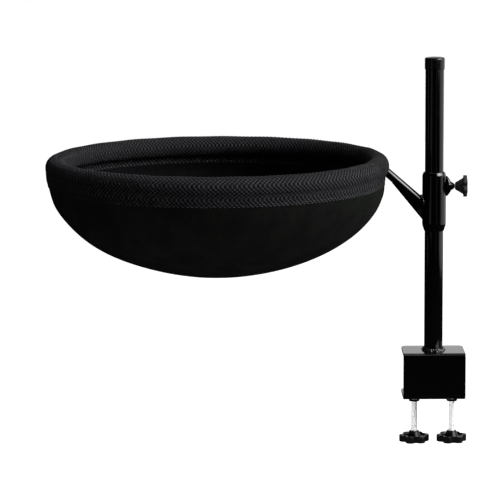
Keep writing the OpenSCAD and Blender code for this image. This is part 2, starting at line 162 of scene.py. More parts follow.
class RimSizes(PropertyGroup):
    """Sizes of the webbing-covered rim."""

    hoop_radius: in_mm("Hoop radius", "Radius of the hoop", 216.7)
    rim_radius: in_mm("Rim radius", "Radius of the padded rim over its webbing", 14.25)
    leg_depth: in_mm("Leg depth", "Depth of the webbing below the hoop", 24)
    webbing: in_mm("Webbing", "Thickness of the webbing", 1.5)
    ribs: as_count("Ribs", "Ribs of the herringbone counted round the hoop", 240)
    row: in_mm("Row", "Width of one row of the herringbone", 9.6)
    relief: in_mm("Relief", "Height of a rib over the gap beside it", 0.8)
    crease_turn: in_degrees("Crease turn", "Turn round the hoop of the one crease in the webbing", 209)
    crease_depth: in_mm("Crease depth", "Depth of the one crease in the webbing below the hoop", 12.5)
    join: in_degrees("Join", "Half length of the plain cloth over the webbing's ends at the arm", 21)
    stitch: in_mm("Stitch", "Spacing of the stitches along the webbing", 4)
    thread: in_mm("Thread", "Diameter of the sewing thread", 0.8)


class BowlSizes(PropertyGroup):
    """Sizes of the cloth bowl."""

    radius: in_mm("Radius", "Outer radius of the bowl at the hoop", 229.2)
    depth: in_mm("Depth", "Depth of the bowl below the hoop", 146)
    fall: as_number("Fall", "Exponent of the depth in the bowl's profile", 2.26)
    belly: as_number("Belly", "Exponent of the radius in the bowl's profile", 1.83)
    cloth: in_mm("Cloth", "Thickness of the outer cloth", 1.4)
    padding: in_mm("Padding", "Thickness of the padding", 4.2)
    lining: in_mm("Lining", "Thickness of the lining", 1.2)
    waist: in_mm("Waist", "How far the wall draws in under the padded rim, on average", 2.3)
    waist_sway: in_mm("Waist sway", "How much more than that the wall draws in on the right", 1.9)
    slack: as_share("Slack", "Share by which the cloth is cut larger than the bowl", 0.012)
    most_move: in_mm("Most move", "How far the cloth may move while it settles", 5)


class Colours(PropertyGroup):
    """Colours of the finishes, as sRGB hex."""

    enamel: as_hex("Enamel", "Gloss enamel on the steel", "#030304")
    zinc: as_hex("Zinc", "Zinc plate on the screws", "#f2f3f4")
    nylon: as_hex("Nylon", "Moulded nylon of the knobs", "#0a0a0b")
    matt_nylon: as_hex("Matt nylon", "Matt moulded nylon of the lock knob", "#26262a")
    cap: as_hex("Cap", "Moulded polyethylene of the end cap", "#050506")
    acetal: as_hex("Acetal", "Guide bushes", "#26272b")
    rubber: as_hex("Rubber", "Desk pad and disc faces", "#1b1b1c")
    brass: as_hex("Brass", "Tip of the lock screw", "#caa24c")
    # Rib: the webbing's dark grey with painted sheen. Gap: its near black with painted shade between
    # the ribs
    webbing_rib_and_sheen: as_hex("Webbing rib", "Ribs of the webbing", "#303036")
    webbing_gap_and_shade: as_hex("Webbing gap", "Gaps between the ribs", "#030304")
    cloth: as_hex("Cloth", "Felted outer cloth", "#131514")
    cloth_light: as_hex("Cloth light", "Lighter mottling of the outer cloth", "#1a1c19")
    lining: as_hex("Lining", "Brushed lining", "#101012")
    lining_light: as_hex("Lining light", "Lighter mottling of the lining", "#161618")
    thread: as_hex("Thread", "Sewing thread", "#101012")


class StageSizes(PropertyGroup):
    """Camera, floor and light."""

    camera_place: FloatVectorProperty(
        name="Camera", description="Place of the camera",
        default=(-0.24820, -3.67759, 0.74691), subtype="TRANSLATION",
    )
    pitch: in_degrees("Pitch", "Angle at which the camera looks down", 9.2855)
    roll: in_degrees("Roll", "Roll of the camera about its view", -0.3017)
    lens: as_number("Lens", "Focal length in millimetres on a 36 mm sensor", 2759.11 * 36 / 500)
    floor_z: in_mm("Floor", "Height of the floor", -700)
    ambient: as_number("Ambient", "Even light from all round", 0.12)
    key_power: as_number("Key power", "Power of the soft key lamp in watts", 54.0)
    top_power: as_number("Top power", "Power of the soft top lamp in watts", 4.5)
    low_power: as_number("Low power", "Power of the narrow lamp on the clamp screws in watts", 0.38)


GROUPS = {
    "cat_bed_clamp": ClampSizes,
    "cat_bed_knobs": KnobSizes,
    "cat_bed_arm": ArmSizes,
    "cat_bed_rim": RimSizes,
    "cat_bed_bowl": BowlSizes,
    "cat_bed_colours": Colours,
    "cat_bed_stage": StageSizes,
}


# ---------------------------------------------------------------- meshes


def mm(*rows):
    """Rows of lengths in millimetres, as an array in metres."""
    return np.array(rows, float) * MM


def smoothed(value):
    """Eases a share: 0 below 0, 1 above 1, and the smooth step 3v^2 - 2v^3 between."""
    value = np.clip(value, 0, 1)
    return value * value * (3 - 2 * value)


def unit(vectors):
    """The same directions with length 1, along the last axis."""
    return vectors / np.linalg.norm(vectors, axis=-1, keepdims=True)


def around(distance, angle, height, axis="Z"):
    """Points at a distance from the Z or X axis, at an angle round it and a height along it."""
    across, up = distance * np.cos(angle), distance * np.sin(angle)
    height = np.broadcast_to(height, across.shape)
    return np.stack([across, up, height] if axis == "Z" else [height, across, up], -1)


def round_angles(count):
    """Column of equal steps once round."""
    return np.arange(count)[:, None] * TURN / count


def surface(name, points, wrap_u=True, wrap_v=False, sharp=40, uv=None):
    """Mesh on a grid points[u, v]. Each cell is one quad; wrap joins the last row to the first.

    Rows that meet in one point become a pole, and the faces are turned outwards. uv is a pair of
    arrays, the values at the grid lines along u and along v, one longer where that way wraps.
    """
    rows, columns = points.shape[:2]
    i = np.arange(rows if wrap_u else rows - 1)[:, None]
    j = np.arange(columns if wrap_v else columns - 1)[None, :]
    i, j = np.broadcast_arrays(i, j)
    corners = [(i, j), (i + 1, j), (i + 1, j + 1), (i, j + 1)]
    quads = np.stack([(a % rows) * columns + b % columns for a, b in corners], -1).reshape(-1, 4)
    mesh = bpy.data.meshes.new(name)
    mesh.vertices.add(rows * columns)
    mesh.vertices.foreach_set("co", points.astype(np.float32).ravel())
    mesh.loops.add(quads.size)
    mesh.loops.foreach_set("vertex_index", quads.astype(np.int32).ravel())
    mesh.polygons.add(len(quads))
    mesh.polygons.foreach_set("loop_start", np.arange(0, quads.size, 4, dtype=np.int32))
    mesh.update(calc_edges=True)
    if uv is not None:
        along = np.stack([np.stack([uv[0][a], uv[1][b]], -1) for a, b in corners], 2)
        mesh.uv_layers.new(name="weave").data.foreach_set("uv", along.astype(np.float32).ravel())
    return tidy(name, mesh, sharp)


def tidy(name, mesh, sharp=40):
    """Merges doubles, turns faces outwards, and smooths all edges up to sharp degrees."""
    work = bmesh.new()
    work.from_mesh(mesh)
    bmesh.ops.remove_doubles(work, verts=work.verts, dist=2e-7)
    bmesh.ops.recalc_face_normals(work, faces=work.faces)
    work.to_mesh(mesh)
    work.free()
    mesh.validate()
    mesh.polygons.foreach_set("use_smooth", np.ones(len(mesh.polygons), bool))
    mesh.set_sharp_from_angle(angle=math.radians(sharp))
    obj = bpy.data.objects.new(name, mesh)
    bpy.context.scene.collection.objects.link(obj)
    return obj


def soften(outline, reach, steps=6, closed=False):
    """Rounds an outline's corners: each becomes the quadratic curve that starts and ends reach away.

    At parameter t the curve is (1-t)^2 start + 2t(1-t) corner + t^2 end. reach is one number or one
    for each corner, in metres, and the two ends of an open outline stay as they are.
    """
    p = np.asarray(outline, float)
    reach = np.broadcast_to(np.asarray(reach, float), len(p))[:, None]
    start, end = (
        p + unit(side) * np.minimum(reach, np.linalg.norm(side, axis=1, keepdims=True) / 2)
        for side in (np.roll(p, 1, 0) - p, np.roll(p, -1, 0) - p)
    )
    t = np.linspace(0, 1, steps)[None, :, None]
    curve = (1 - t) ** 2 * start[:, None] + 2 * t * (1 - t) * p[:, None] + t**2 * end[:, None]
    if closed:
        return curve.reshape(-1, p.shape[1])
    return np.concatenate([p[:1], curve[1:-1].reshape(-1, p.shape[1]), p[-1:]])


def turned(name, outline, centre=(0, 0, 0), axis="Z", count=160, closed=False):
    """Surface of revolution: the point (radius, height) of the outline goes round the axis."""
    radius, height = np.asarray(outline, float).T[:, None, :]
    points = around(radius, round_angles(count), height, axis)
    return surface(name, points + np.array(centre), wrap_v=closed)


def along_line(name, outline, start, direction, count=128):
    """Surface of revolution about a slanting line: height runs along it from its start."""
    way, side = unit(np.array(direction)), np.array([0.0, 1.0, 0.0])
    up = np.cross(way, side)
    angle = round_angles(count)[..., None]
    radius, height = np.asarray(outline, float).T[:, None, :, None]
    spread = radius * (np.cos(angle) * side + np.sin(angle) * up)
    return surface(name, np.array(start) + spread + height * way)


def slab(name, outline, low, high, edge, plane="XY"):
    """Plate with rounded edges: at each face the outline shrinks inwards on a quarter circle."""
    p = np.asarray(outline, float)
    middle = p.mean(0)
    ahead = np.roll(p, -1, 0) - np.roll(p, 1, 0)
    inward = np.stack([-ahead[:, 1], ahead[:, 0]], 1)
    inward /= np.linalg.norm(inward, axis=1, keepdims=True) + 1e-12
    inward *= np.sign(np.sum(inward * (middle - p), 1, keepdims=True))
    swing = np.linspace(0, QUARTER, 4)
    sine, cosine = edge * (1 - np.sin(swing)), edge * (1 - np.cos(swing))
    inset = np.concatenate([sine, cosine])
    level = np.concatenate([[low], low + cosine, high - sine, [high]])
    rings = p[:, None, :] + inward[:, None, :] * inset[None, :, None]
    ends = np.broadcast_to(middle, (len(p), 1, 2))
    a, b = np.moveaxis(np.concatenate([ends, rings, ends], 1), -1, 0)
    height = np.broadcast_to(level, a.shape)
    return surface(name, np.stack([a, b, height] if plane == "XY" else [a, height, b], -1))


def bead(name, path, radius, closed=True, count=14):
    """Rounded bead along a path: at each point a circle stands square to the path's direction."""
    path = np.asarray(path, float)
    radius = np.broadcast_to(radius, len(path))
    ahead = np.roll(path, -1, 0) - np.roll(path, 1, 0)
    if not closed:
        ahead[0], ahead[-1] = path[1] - path[0], path[-1] - path[-2]
    ahead = unit(ahead)
    aside = np.array([0.31, 0.17, 0.93])  # a direction that no path runs along
    side = unit(np.cross(ahead, aside))[:, None]
    up = np.cross(ahead, side[:, 0])[:, None]
    angle = round_angles(count)[None]
    points = path[:, None] + (np.cos(angle) * side + np.sin(angle) * up) * radius[:, None, None]
    return surface(name, points, wrap_u=closed, wrap_v=True)


def cut(obj, tool):
    """Takes the tool's space out of a piece and deletes the tool."""
    step = obj.modifiers.new("cut", "BOOLEAN")
    step.object, step.operation, step.solver = tool, "DIFFERENCE", "EXACT"
    bpy.context.view_layer.update()
    shape = obj.evaluated_get(bpy.context.evaluated_depsgraph_get())
    mesh = bpy.data.meshes.new_from_object(shape)
    obj.modifiers.clear()
    obj.data = mesh
    bpy.data.objects.remove(tool)
    mesh.set_sharp_from_angle(angle=math.radians(40))


def joined(name, parts):
    """One piece from several closed shapes."""
    work = bmesh.new()
    for part in parts:
        work.from_mesh(part.data)
        bpy.data.objects.remove(part)
    mesh = bpy.data.meshes.new(name)
    work.to_mesh(mesh)
    work.free()
    return tidy(name, mesh)


def place(obj, body, look, *nodes):
    """Puts a piece on its body, gives it its look, and hides the CAD nodes that it stands for."""
    slot, made = look
    obj.data.materials.clear()
    obj.data.materials.append(made)
    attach(obj, body)
    if nodes:
        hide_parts(*nodes)


# ---------------------------------------------------------------- finishes


def linear(colour):
    """sRGB hex to linear RGBA: v/12.92 up to 0.04045, and ((v+0.055)/1.055)^2.4 above."""
    values = [int(colour[k : k + 2], 16) / 255 for k in (1, 3, 5)]
    return (*[v / 12.92 if v <= 0.04045 else ((v + 0.055) / 1.055) ** 2.4 for v in values], 1.0)


def add(tree, kind, inputs=None, **settings):
    """Adds a shader node with its settings.

    An input is a value, a socket to link it to, or a node whose first enabled output is meant.
    """
    made = tree.nodes.new("ShaderNode" + kind)
    for name, value in settings.items():
        setattr(made, name, value)
    for name, value in (inputs or {}).items():
        if isinstance(value, Node):
            value = next(socket for socket in value.outputs if socket.enabled)
        if isinstance(value, NodeSocket):
            tree.links.new(value, made.inputs[name])
        else:
            made.inputs[name].default_value = value
    return made


def material(name):
    """Empty node material and its tree."""
    made = bpy.data.materials.get(name) or bpy.data.materials.new(name)
    made.use_nodes = True
    made.node_tree.nodes.clear()
    return made, made.node_tree


def finish(tree, inputs):
    """Ends a material in one Principled shader."""
    add(tree, "OutputMaterial", {"Surface": add(tree, "BsdfPrincipled", inputs)})


def coated(name, colour, cloud, rough, grain, bump, constants):
    """Smooth hard finish: a cloudy noise moves its roughness and a finer one stands as relief.

    cloud and grain are the scale and detail of a noise, rough the range of the roughness, and bump
    the strength and depth of the relief.
    """
    made, tree = material(name)
    place_of = add(tree, "TexCoord").outputs["Object"]
    clouds, grains = (
        add(tree, "TexNoise", {"Vector": place_of, "Scale": scale, "Detail": detail})
        for scale, detail in (cloud, grain)
    )
    span = {"From Min": 0.3, "From Max": 0.7, "To Min": rough[0], "To Max": rough[1]}
    rough_of = add(tree, "MapRange", {"Value": clouds, **span})
    relief = add(tree, "Bump", {"Height": grains, "Strength": bump[0], "Distance": bump[1]})
    finish(tree, {"Base Color": linear(colour), "Roughness": rough_of, "Normal": relief, **constants})
    return made


def moulded(name, colour, roughness, grain_mm, depth_mm, gloss=0.5):
    """Moulded plastic or rubber: a fine spark-eroded grain breaks the gloss into a soft sheen."""
    return coated(
        name, colour, cloud=(60.0, 2.0), rough=(roughness - 0.05, roughness + 0.05),
        grain=(1 / (grain_mm * MM), 2.0), bump=(0.35, depth_mm * MM),
        constants={"IOR": 1.5, "Specular IOR Level": gloss},
    )


def turned_brass(colours):
    """Turned brass: the tool leaves rings that catch the light, drawn 0.6 mm apart."""
    made, tree = material("brass_turned")
    waves = {"Vector": add(tree, "TexCoord").outputs["Object"], "Scale": 530.0, "Distortion": 0.4}
    rings = add(tree, "TexWave", waves, wave_type="BANDS", bands_direction="X").outputs["Fac"]
    relief = add(tree, "Bump", {"Height": rings, "Strength": 0.2, "Distance": 0.1 * MM})
    constants = {"Metallic": 1.0, "Roughness": 0.28}
    finish(tree, {"Base Color": linear(colours.brass), "Normal": relief, **constants})
    return made


def herringbone_webbing(colours, rim):
    """Woven polyester webbing in a herringbone twill.

    It gives the eye ribs 6 mm apart that turn at each row, with the floats of each rib as a row of
    beads. The ribs are painted lighter than the dark yarn, a painted sheen, and the gaps between
    them near black, a painted shade. The yarns across a rib are about 0.6 mm, drawn at 0.9 mm so
    they show.
    """
    made, tree = material("polyester_webbing_herringbone_woven")
    weave = add(tree, "SeparateXYZ", {"Vector": add(tree, "UVMap", uv_map="weave")})
    along, across = weave.outputs["X"], weave.outputs["Y"]
    rib_pitch = TURN * rim.hoop_radius / rim.ribs
    zigzag = add(tree, "Math", {0: across, 1: rim.row / rib_pitch}, operation="PINGPONG")
    waves = []
    for way in ("ADD", "SUBTRACT"):
        phase = add(tree, "Math", {0: along, 1: zigzag}, operation=way)
        angle = add(tree, "Math", {0: phase, 1: TURN}, operation="MULTIPLY")
        waves.append(add(tree, "Math", {0: angle}, operation="COSINE"))
    beaded = add(tree, "Math", {0: waves[1], 1: 0.7, 2: waves[0]}, operation="MULTIPLY_ADD")
    span = {"Value": beaded, "From Min": -0.5, "From Max": 1.2}
    twill = add(tree, "MapRange", span, interpolation_type="SMOOTHSTEP")
    # Near the arm a plain cloth covers the join: there the ribs give way to one even tone
    from_join = add(tree, "Math", {0: along, 1: rim.ribs / 2}, operation="PINGPONG")
    edge = rim.join / TURN * rim.ribs
    span = {"Value": from_join, "From Min": edge - 0.5, "From Max": edge + 0.3}
    woven = add(tree, "MapRange", span, interpolation_type="SMOOTHSTEP")
    rib = add(tree, "Mix", {"Factor": woven, "A": 0.03, "B": twill}, data_type="FLOAT")
    yarn_step = 0.9 * MM
    yarn_angle = add(tree, "Math", {0: along, 1: TURN * rib_pitch / yarn_step}, operation="MULTIPLY")
    yarn = add(tree, "Math", {0: yarn_angle}, operation="SINE")
    height = add(tree, "Math", {0: yarn, 1: 0.12, 2: rib}, operation="MULTIPLY_ADD")
    place_of = add(tree, "TexCoord").outputs["Object"]
    fuzz = add(tree, "TexNoise", {"Vector": place_of, "Scale": 900.0, "Detail": 3.0})
    total = add(tree, "Math", {0: fuzz, 1: 0.25, 2: height}, operation="MULTIPLY_ADD")
    relief = add(tree, "Bump", {"Height": total, "Strength": 0.9, "Distance": 0.8 * MM})
    # The tone runs from the gap's painted shade to the rib's painted sheen, by the rib mask
    tones = {"Factor": rib, "A": linear(colours.webbing_gap_and_shade), "B": linear(colours.webbing_rib_and_sheen)}
    tone = add(tree, "Mix", tones, data_type="RGBA")
    matt = add(tree, "MapRange", {"Value": rib, "To Min": 1.0, "To Max": 0.55})
    constants = {"IOR": 1.5, "Specular IOR Level": 0.3}
    finish(tree, {"Base Color": tone, "Roughness": matt, "Normal": relief, **constants})
    return made


def felted_cloth(name, dark, light, gloss):
    """Needled felt: matt and fibrous, with cloudy patches 20 to 40 mm across where the nap lies over.

    The fibres are finer than the picture shows, so the fuzz is drawn about 0.8 mm coarse.
    """
    made, tree = material(name)
    place_of = add(tree, "TexCoord").outputs["Object"]
    noise = {"Vector": place_of, "Detail": 4.0}
    cloud = add(tree, "TexNoise", {**noise, "Scale": 34.0, "Roughness": 0.6})
    fuzz = add(tree, "TexNoise", {**noise, "Scale": 1200.0, "Roughness": 0.7})
    span = {"Value": cloud, "From Min": 0.35, "From Max": 0.7}
    tone = add(tree, "MapRange", span, interpolation_type="SMOOTHSTEP")
    tones = {"Factor": tone, "A": linear(dark), "B": linear(light)}
    colour = add(tree, "Mix", tones, data_type="RGBA")
    relief = add(tree, "Bump", {"Height": fuzz, "Strength": 0.6, "Distance": 0.6 * MM})
    constants = {"Roughness": 0.92, "Specular IOR Level": gloss}
    finish(tree, {"Base Color": colour, "Normal": relief, **constants})
    return made


def finishes():
    """Every look of the object by a short name: its slot and its material."""
    colours, rim = bpy.context.scene.cat_bed_colours, bpy.context.scene.cat_bed_rim
    # Dipped and stoved gloss enamel gives the eye a near-black mirror with a faint orange peel,
    # about 3 mm from crest to crest
    enamel = coated(
        "gloss_enamel_stoved_on_steel", colours.enamel, cloud=(26.0, 3.0), rough=(0.06, 0.13),
        grain=(330.0, 1.5), bump=(0.12, 0.4 * MM), constants={"IOR": 1.5},
    )
    # Bright zinc plate gives a pale metal with a soft cloudy gloss, from crystals about 2 mm across
    crystals = (480.0, 4.0)
    zinc = coated(
        "bright_zinc_plate_on_rolled_steel", colours.zinc, cloud=crystals, rough=(0.42, 0.56),
        grain=crystals, bump=(0.08, 0.2 * MM), constants={"Metallic": 0.4},
    )
    cloth = felted_cloth("polyester_felt_needled", colours.cloth, colours.cloth_light, 0.04)
    lining = felted_cloth("polyester_lining_brushed", colours.lining, colours.lining_light, 0.05)
    nylon = moulded("glass_filled_nylon_moulded", colours.nylon, 0.34, 0.5, 0.1, 0.25)
    matt_nylon = moulded("glass_filled_nylon_matt_moulded", colours.matt_nylon, 0.62, 0.6, 0.15)
    return {
        "enamel": ("gloss_paint", enamel),
        "zinc": ("zinc", zinc),
        "disc": ("disc_steel", zinc),
        "nylon": ("knob_plastic", nylon),
        "matt_nylon": ("knob_plastic", matt_nylon),
        "cap": ("cap_plastic", moulded("polyethylene_cap_moulded", colours.cap, 0.24, 0.8, 0.04)),
        "acetal": ("bush_plastic", moulded("acetal_bush_moulded", colours.acetal, 0.38, 0.6, 0.05)),
        "rubber": ("pad_rubber", moulded("nitrile_rubber_moulded", colours.rubber, 0.7, 0.9, 0.2)),
        "thread": ("webbing", moulded("bonded_nylon_thread", colours.thread, 0.4, 0.4, 0.1)),
        "brass": ("brass", turned_brass(colours)),
        "webbing": ("webbing", herringbone_webbing(colours, rim)),
        "cloth": ("bowl_cloth", cloth),
        "wadding": ("padding", lining),
        "lining": ("lining_cloth", lining),
    }


# ---------------------------------------------------------------- shapes of this object


def wall_point(share, inset, angle):
    """Radius and height of the bowl's wall: radius R (1-share^fall)^(1/belly), height -depth share.

    Under the padded rim the wall draws in by a bell curve of the depth, exp(-((depth-14)/14)^2),
    and most on the right, where the angle round the hoop is 0: waist + sway cos angle.
    """
    bowl = bpy.context.scene.cat_bed_bowl
    radius = (bowl.radius - inset) * np.maximum(1 - share**bowl.fall, 0) ** (1 / bowl.belly)
    depth = (bowl.depth - inset) * share
    bell = np.exp(-(((depth - WAIST_BAND) / WAIST_BAND) ** 2))
    return radius - (bowl.waist + bowl.waist_sway * np.cos(angle)) * bell, -depth


def casing_radius(depth, angle, face):
    """Radius of the webbing's leg at a depth below the hoop, outside (face 1) or inside (face -1).

    It stands the webbing's thickness off the wall, thins towards its lower edge, and dips in a bell
    curve along the row of stitches.
    """
    rim, bowl = bpy.context.scene.cat_bed_rim, bpy.context.scene.cat_bed_bowl
    inset = 0 if face > 0 else bowl.cloth + bowl.padding + bowl.lining
    radius = wall_point(depth / (bowl.depth - inset), inset, angle)[0]
    below = depth - rim.leg_depth
    edge = np.clip((below + EDGE_BAND) / EDGE_BAND, 0, 1)
    dip = SEAM_DIP * np.exp(-(((below + SEAM_INSET) / SEAM_WIDTH) ** 2))
    return radius + face * (rim.webbing * (1 - EDGE_THINNING * edge**2) - dip)


def lobed_radius(angle, size, knobs):
    """Outline of a lobed knob, from its middle.

    A lobe is a circle of radius a whose centre lies c from the middle: seen at an angle w from it,
    its far side is at c cos w + sqrt(a^2 - (c sin w)^2). A high power mean joins it to the core.
    """
    step = TURN / knobs.lobes
    off = (angle - knobs.lobe_turn + step / 2) % step - step / 2
    lobe = size * knobs.lobe_share
    centre = size - lobe
    far = centre * np.cos(off) + np.sqrt(np.maximum(lobe**2 - (centre * np.sin(off)) ** 2, 0))
    return ((size * knobs.core_share) ** LOBE_BLEND + far**LOBE_BLEND) ** (1 / LOBE_BLEND)


def lobed_knob(name, size, rows, reach, centre, axis):
    """Knob: a row (share, radius, height) of its outline lies at share x lobed outline + radius.

    Radius, height and the reach of the rounding are in millimetres.
    """
    knobs = bpy.context.scene.cat_bed_knobs
    softened = soften(np.array(rows, float) * [size, MM, MM], mm(*reach), 5)
    share, radius, height = (softened / np.array([size, 1, 1])).T
    angle = round_angles(LOBE_STEPS * knobs.lobes)
    points = around(share * lobed_radius(angle, size, knobs) + radius, angle, height)
    if axis == "X":
        points = points[..., ::-1] * [-1, 1, 1]
    return surface(name, points + np.array(centre), sharp=38)


def threaded_bar(name, outline, pitch, depth, start, end, centre, axis, count=40):
    """Bar with a right-hand thread between start and end.

    The radius is the outline's, less depth times a 60 degree groove that climbs one pitch a turn:
    the groove is one minus the flattened triangle wave of height / pitch - angle / turn.
    """
    outline = np.asarray(outline, float)
    height = np.arange(outline[0, 1], outline[-1, 1], pitch / THREAD_STEPS)
    height = np.union1d(height, outline[:, 1])
    radius = np.interp(height, outline[:, 1], outline[:, 0])
    angle = round_angles(count)
    phase = (height[None, :] / pitch - angle / TURN) % 1
    steep, flat = 1.35, 0.22
    groove = np.clip(steep * (1 - np.abs(2 * phase - 1)) - flat, 0, 1)
    fade = np.clip((height - start) / pitch, 0, 1) * np.clip((end - height) / pitch, 0, 1)
    distance = np.pad(radius[None, :] - depth * groove * fade[None, :], ((0, 0), (1, 1)))
    height = np.pad(height, 1, mode="edge")
    return surface(name, around(distance, angle, height, axis) + np.array(centre), sharp=60)


def hex_nut(name, flats, outline, centre, axis):
    """Hexagonal nut: the smaller of the hexagon's radius, (flats/2)/cos w, and the outline's."""
    angle = round_angles(120)
    face = (angle + math.pi / 6) % (math.pi / 3) - math.pi / 6
    radius, height = np.asarray(outline, float).T[:, None, :]
    distance = np.minimum(radius, flats / 2 / np.cos(face))
    points = around(distance, angle, height, axis) + np.array(centre)
    return surface(name, points, wrap_v=True, sharp=25)


def ripple(angle, count, seed):
    """Crests of a weld: a rounded wave of the given count whose height wanders a little."""
    rng = np.random.default_rng(seed)
    wander = sum(
        rng.uniform(-0.12, 0.12) * np.sin(k * angle + rng.uniform(0, TURN)) for k in (2, 3, 5, 9)
    )
    return np.abs(np.sin(angle * count / 2 + 2 * wander)) ** 0.6 + wander


# ---------------------------------------------------------------- operators


class CATBED_OT_clamp(Operator):
    """Bent bracket, desk pad and weld nuts"""

    bl_idname = "cat_bed.clamp"
    bl_label = "Build clamp"

    def execute(self, context):
        clamp, looks = context.scene.cat_bed_clamp, finishes()
        half = clamp.plate / 2
        bend = clamp.bend_radius + half
        back, front = BRACKET_HIGH[1], BRACKET_LOW[1] + half
        top, low = BRACKET_HIGH[2] - half, BRACKET_LOW[2] + half
        # The plate's middle line, from the open end of the top to the open end of the bottom
        inset = mm(0, 0.05, 0.12, 0.25, 0.45, 0.7, 1.1, 1.7, 2.5, 3.5, 4.7, 6.2, 8, 12)
        run = np.linspace(back - inset[-1], front + bend, 12)[1:]
        swing = np.linspace(0, QUARTER, 14)[1:]
        lengthwise = np.concatenate([back - inset, run])
        upper = np.stack([lengthwise, np.full_like(lengthwise, top)], 1)
        bend_y, bend_z = front + bend - bend * np.sin(swing), top - bend + bend * np.cos(swing)
        bend_line = np.stack([bend_y, bend_z], 1)
        drop = np.linspace(top - bend, low + bend, 14)[1:-1]
        web = np.stack([np.full_like(drop, front), drop], 1)
        half_line = np.concatenate([upper, bend_line, web[: len(web) // 2]])
        mirrored = half_line[::-1] * [1, -1] + [0, top + low]
        line = np.concatenate([half_line, mirrored])
        ahead = unit(np.gradient(line, axis=0))
        outward = np.stack([ahead[:, 1], -ahead[:, 0]], 1)
        steps = np.concatenate([[0], np.cumsum(np.linalg.norm(np.diff(line, axis=0), axis=1))])
        from_end = np.minimum(steps, steps[-1] - steps)
        # Half width and half thickness shrink on quarter circles towards each open end
        corner = np.maximum(clamp.corner_radius - from_end, 0)
        width = BRACKET_HIGH[0] - clamp.corner_radius + np.sqrt(clamp.corner_radius**2 - corner**2)
        edge = np.maximum(clamp.edge_round - from_end, 0)
        thick = half - clamp.edge_round + np.sqrt(clamp.edge_round**2 - edge**2)
        # The section is a rectangle with rounded corners, and ends in a pole at each open end
        corners = np.repeat([[1, 1], [-1, 1], [-1, -1], [1, -1]], 6, axis=0)
        turn_of = np.concatenate([np.linspace(0, QUARTER, 6) + k * QUARTER for k in range(4)])
        small = np.minimum(clamp.edge_round, thick * 0.98)[:, None]
        across = corners[:, 0] * (width[:, None] - small) + small * np.cos(turn_of)
        away = corners[:, 1] * (thick[:, None] - small) + small * np.sin(turn_of)
        across, away = (np.pad(side, ((1, 1), (0, 0))) for side in (across, away))
        line, outward = (np.pad(side, ((1, 1), (0, 0)), mode="edge") for side in (line, outward))
        back_and_up = line[:, None] + away[..., None] * outward[:, None]
        points = np.concatenate([across[..., None], back_and_up], -1)
        bracket = surface("bracket", points, wrap_u=False, wrap_v=True, sharp=50)
        for node in ("weld_nut_left", "weld_nut_right"):
            nut_low, nut_high = node_box(node)
            x = (nut_low[0] + nut_high[0]) / 2
            hole = mm([0, -10], [4.6, -10], [4.6, 10], [0, 10])
            cut(bracket, turned("hole", hole, (x, 0, low), count=64))
            # The nut hangs under the lower plate, with a chamfer at its foot
            foot = mm([4, 0.4], [4.5, 0], [7.1, 0], [8.2, 1]) + [0, nut_low[2]]
            outline = np.concatenate([foot, mm([8.2, 0], [4, 0]) + [0, nut_high[2]]])
            outline = soften(outline, 0.25 * MM, 3, closed=True)
            nut = hex_nut(node.replace("weld_", ""), 14 * MM, outline, (x, 0, 0), "Z")
            place(nut, "clamp", looks["enamel"], node)
        place(bracket, "clamp", looks["enamel"], "clamp_bracket")
        (left, near, bottom), (right, far, above) = node_box("top_pad")
        outline = [[left, near], [right, near], [right, far], [left, far]]
        outline = soften(outline, 4.5 * MM, 8, closed=True)
        place(slab("desk_pad", outline, bottom, above, 0.5 * MM), "clamp", looks["rubber"], "top_pad")
        return {"FINISHED"}


class CATBED_OT_post(Operator):
    """Post tube, its cap and the weld round its foot"""

    bl_idname = "cat_bed.post"
    bl_label = "Build post"

    def execute(self, context):
        clamp, looks = context.scene.cat_bed_clamp, finishes()
        foot, top, radius = TUBE_LOW[2], TUBE_HIGH[2], TUBE_HIGH[0]
        bore, fit = radius - 1.5 * MM, 0.02 * MM
        wall = [[bore, foot], [radius, foot], [radius, top], [bore, top]]
        post = turned("post", soften(wall, 0.3 * MM, 3, closed=True), count=256, closed=True)
        place(post, "clamp", looks["enamel"], "post_tube")
        # The cap's skin: the room for the tube, then the skirt and the slightly domed top
        cap_low, cap_high = node_box("post_cap")
        cap_r, skirt, crown = cap_high[0], cap_low[2], cap_high[2]
        skin = [
            [0, top + fit], [radius + fit, top + fit], [radius + fit, skirt],
            [cap_r - 0.15 * MM, skirt], [cap_r, skirt + 2 * MM], [cap_r, crown - 1.2 * MM],
            [cap_r * 0.5, crown - 0.3 * MM], [0, crown],
        ]
        cap = turned("post_end_cap", soften(skin, mm(0, 0, 0.1, 0.3, 0.5, 2.2, 3.0, 0), 9), count=256)
        place(cap, "clamp", looks["cap"], "post_cap")
        # The weld's section runs from the post down to the plate; its crests lean forwards. Sizes
        # in millimetres: the leg, its crests and its lumps
        leg, crest_size, lump_size = 3.3, 0.8, 0.9
        angle = round_angles(clamp.weld_ripples * RIPPLE_STEPS)
        share = np.linspace(0, 1, 15)[None, :]
        crest = ripple(angle + 0.10 * np.sin(math.pi * share), clamp.weld_ripples, 4)
        lumps = 0.55 * np.sin(5 * angle + 1.3) + 0.45 * np.sin(8 * angle + 4.0 + 1.5 * share)
        reach = (leg + crest_size * crest + lump_size * lumps) * MM
        swing = share * math.pi / 2
        belly = 0.80 + 0.20 * np.abs(np.cos(2 * swing))
        base = foot - 0.1 * MM
        distance = radius - 0.2 * MM + reach * np.sin(swing) * belly
        height = base + reach * np.cos(swing) * belly
        core = ((0, 0), (1, 0))
        distance = np.pad(distance, core, constant_values=radius - 0.6 * MM)
        height = np.pad(height, core, constant_values=base)
        weld = surface("foot_weld_bead", around(distance, angle, height), wrap_v=True, sharp=60)
        place(weld, "clamp", looks["enamel"], "post_weld")
        return {"FINISHED"}


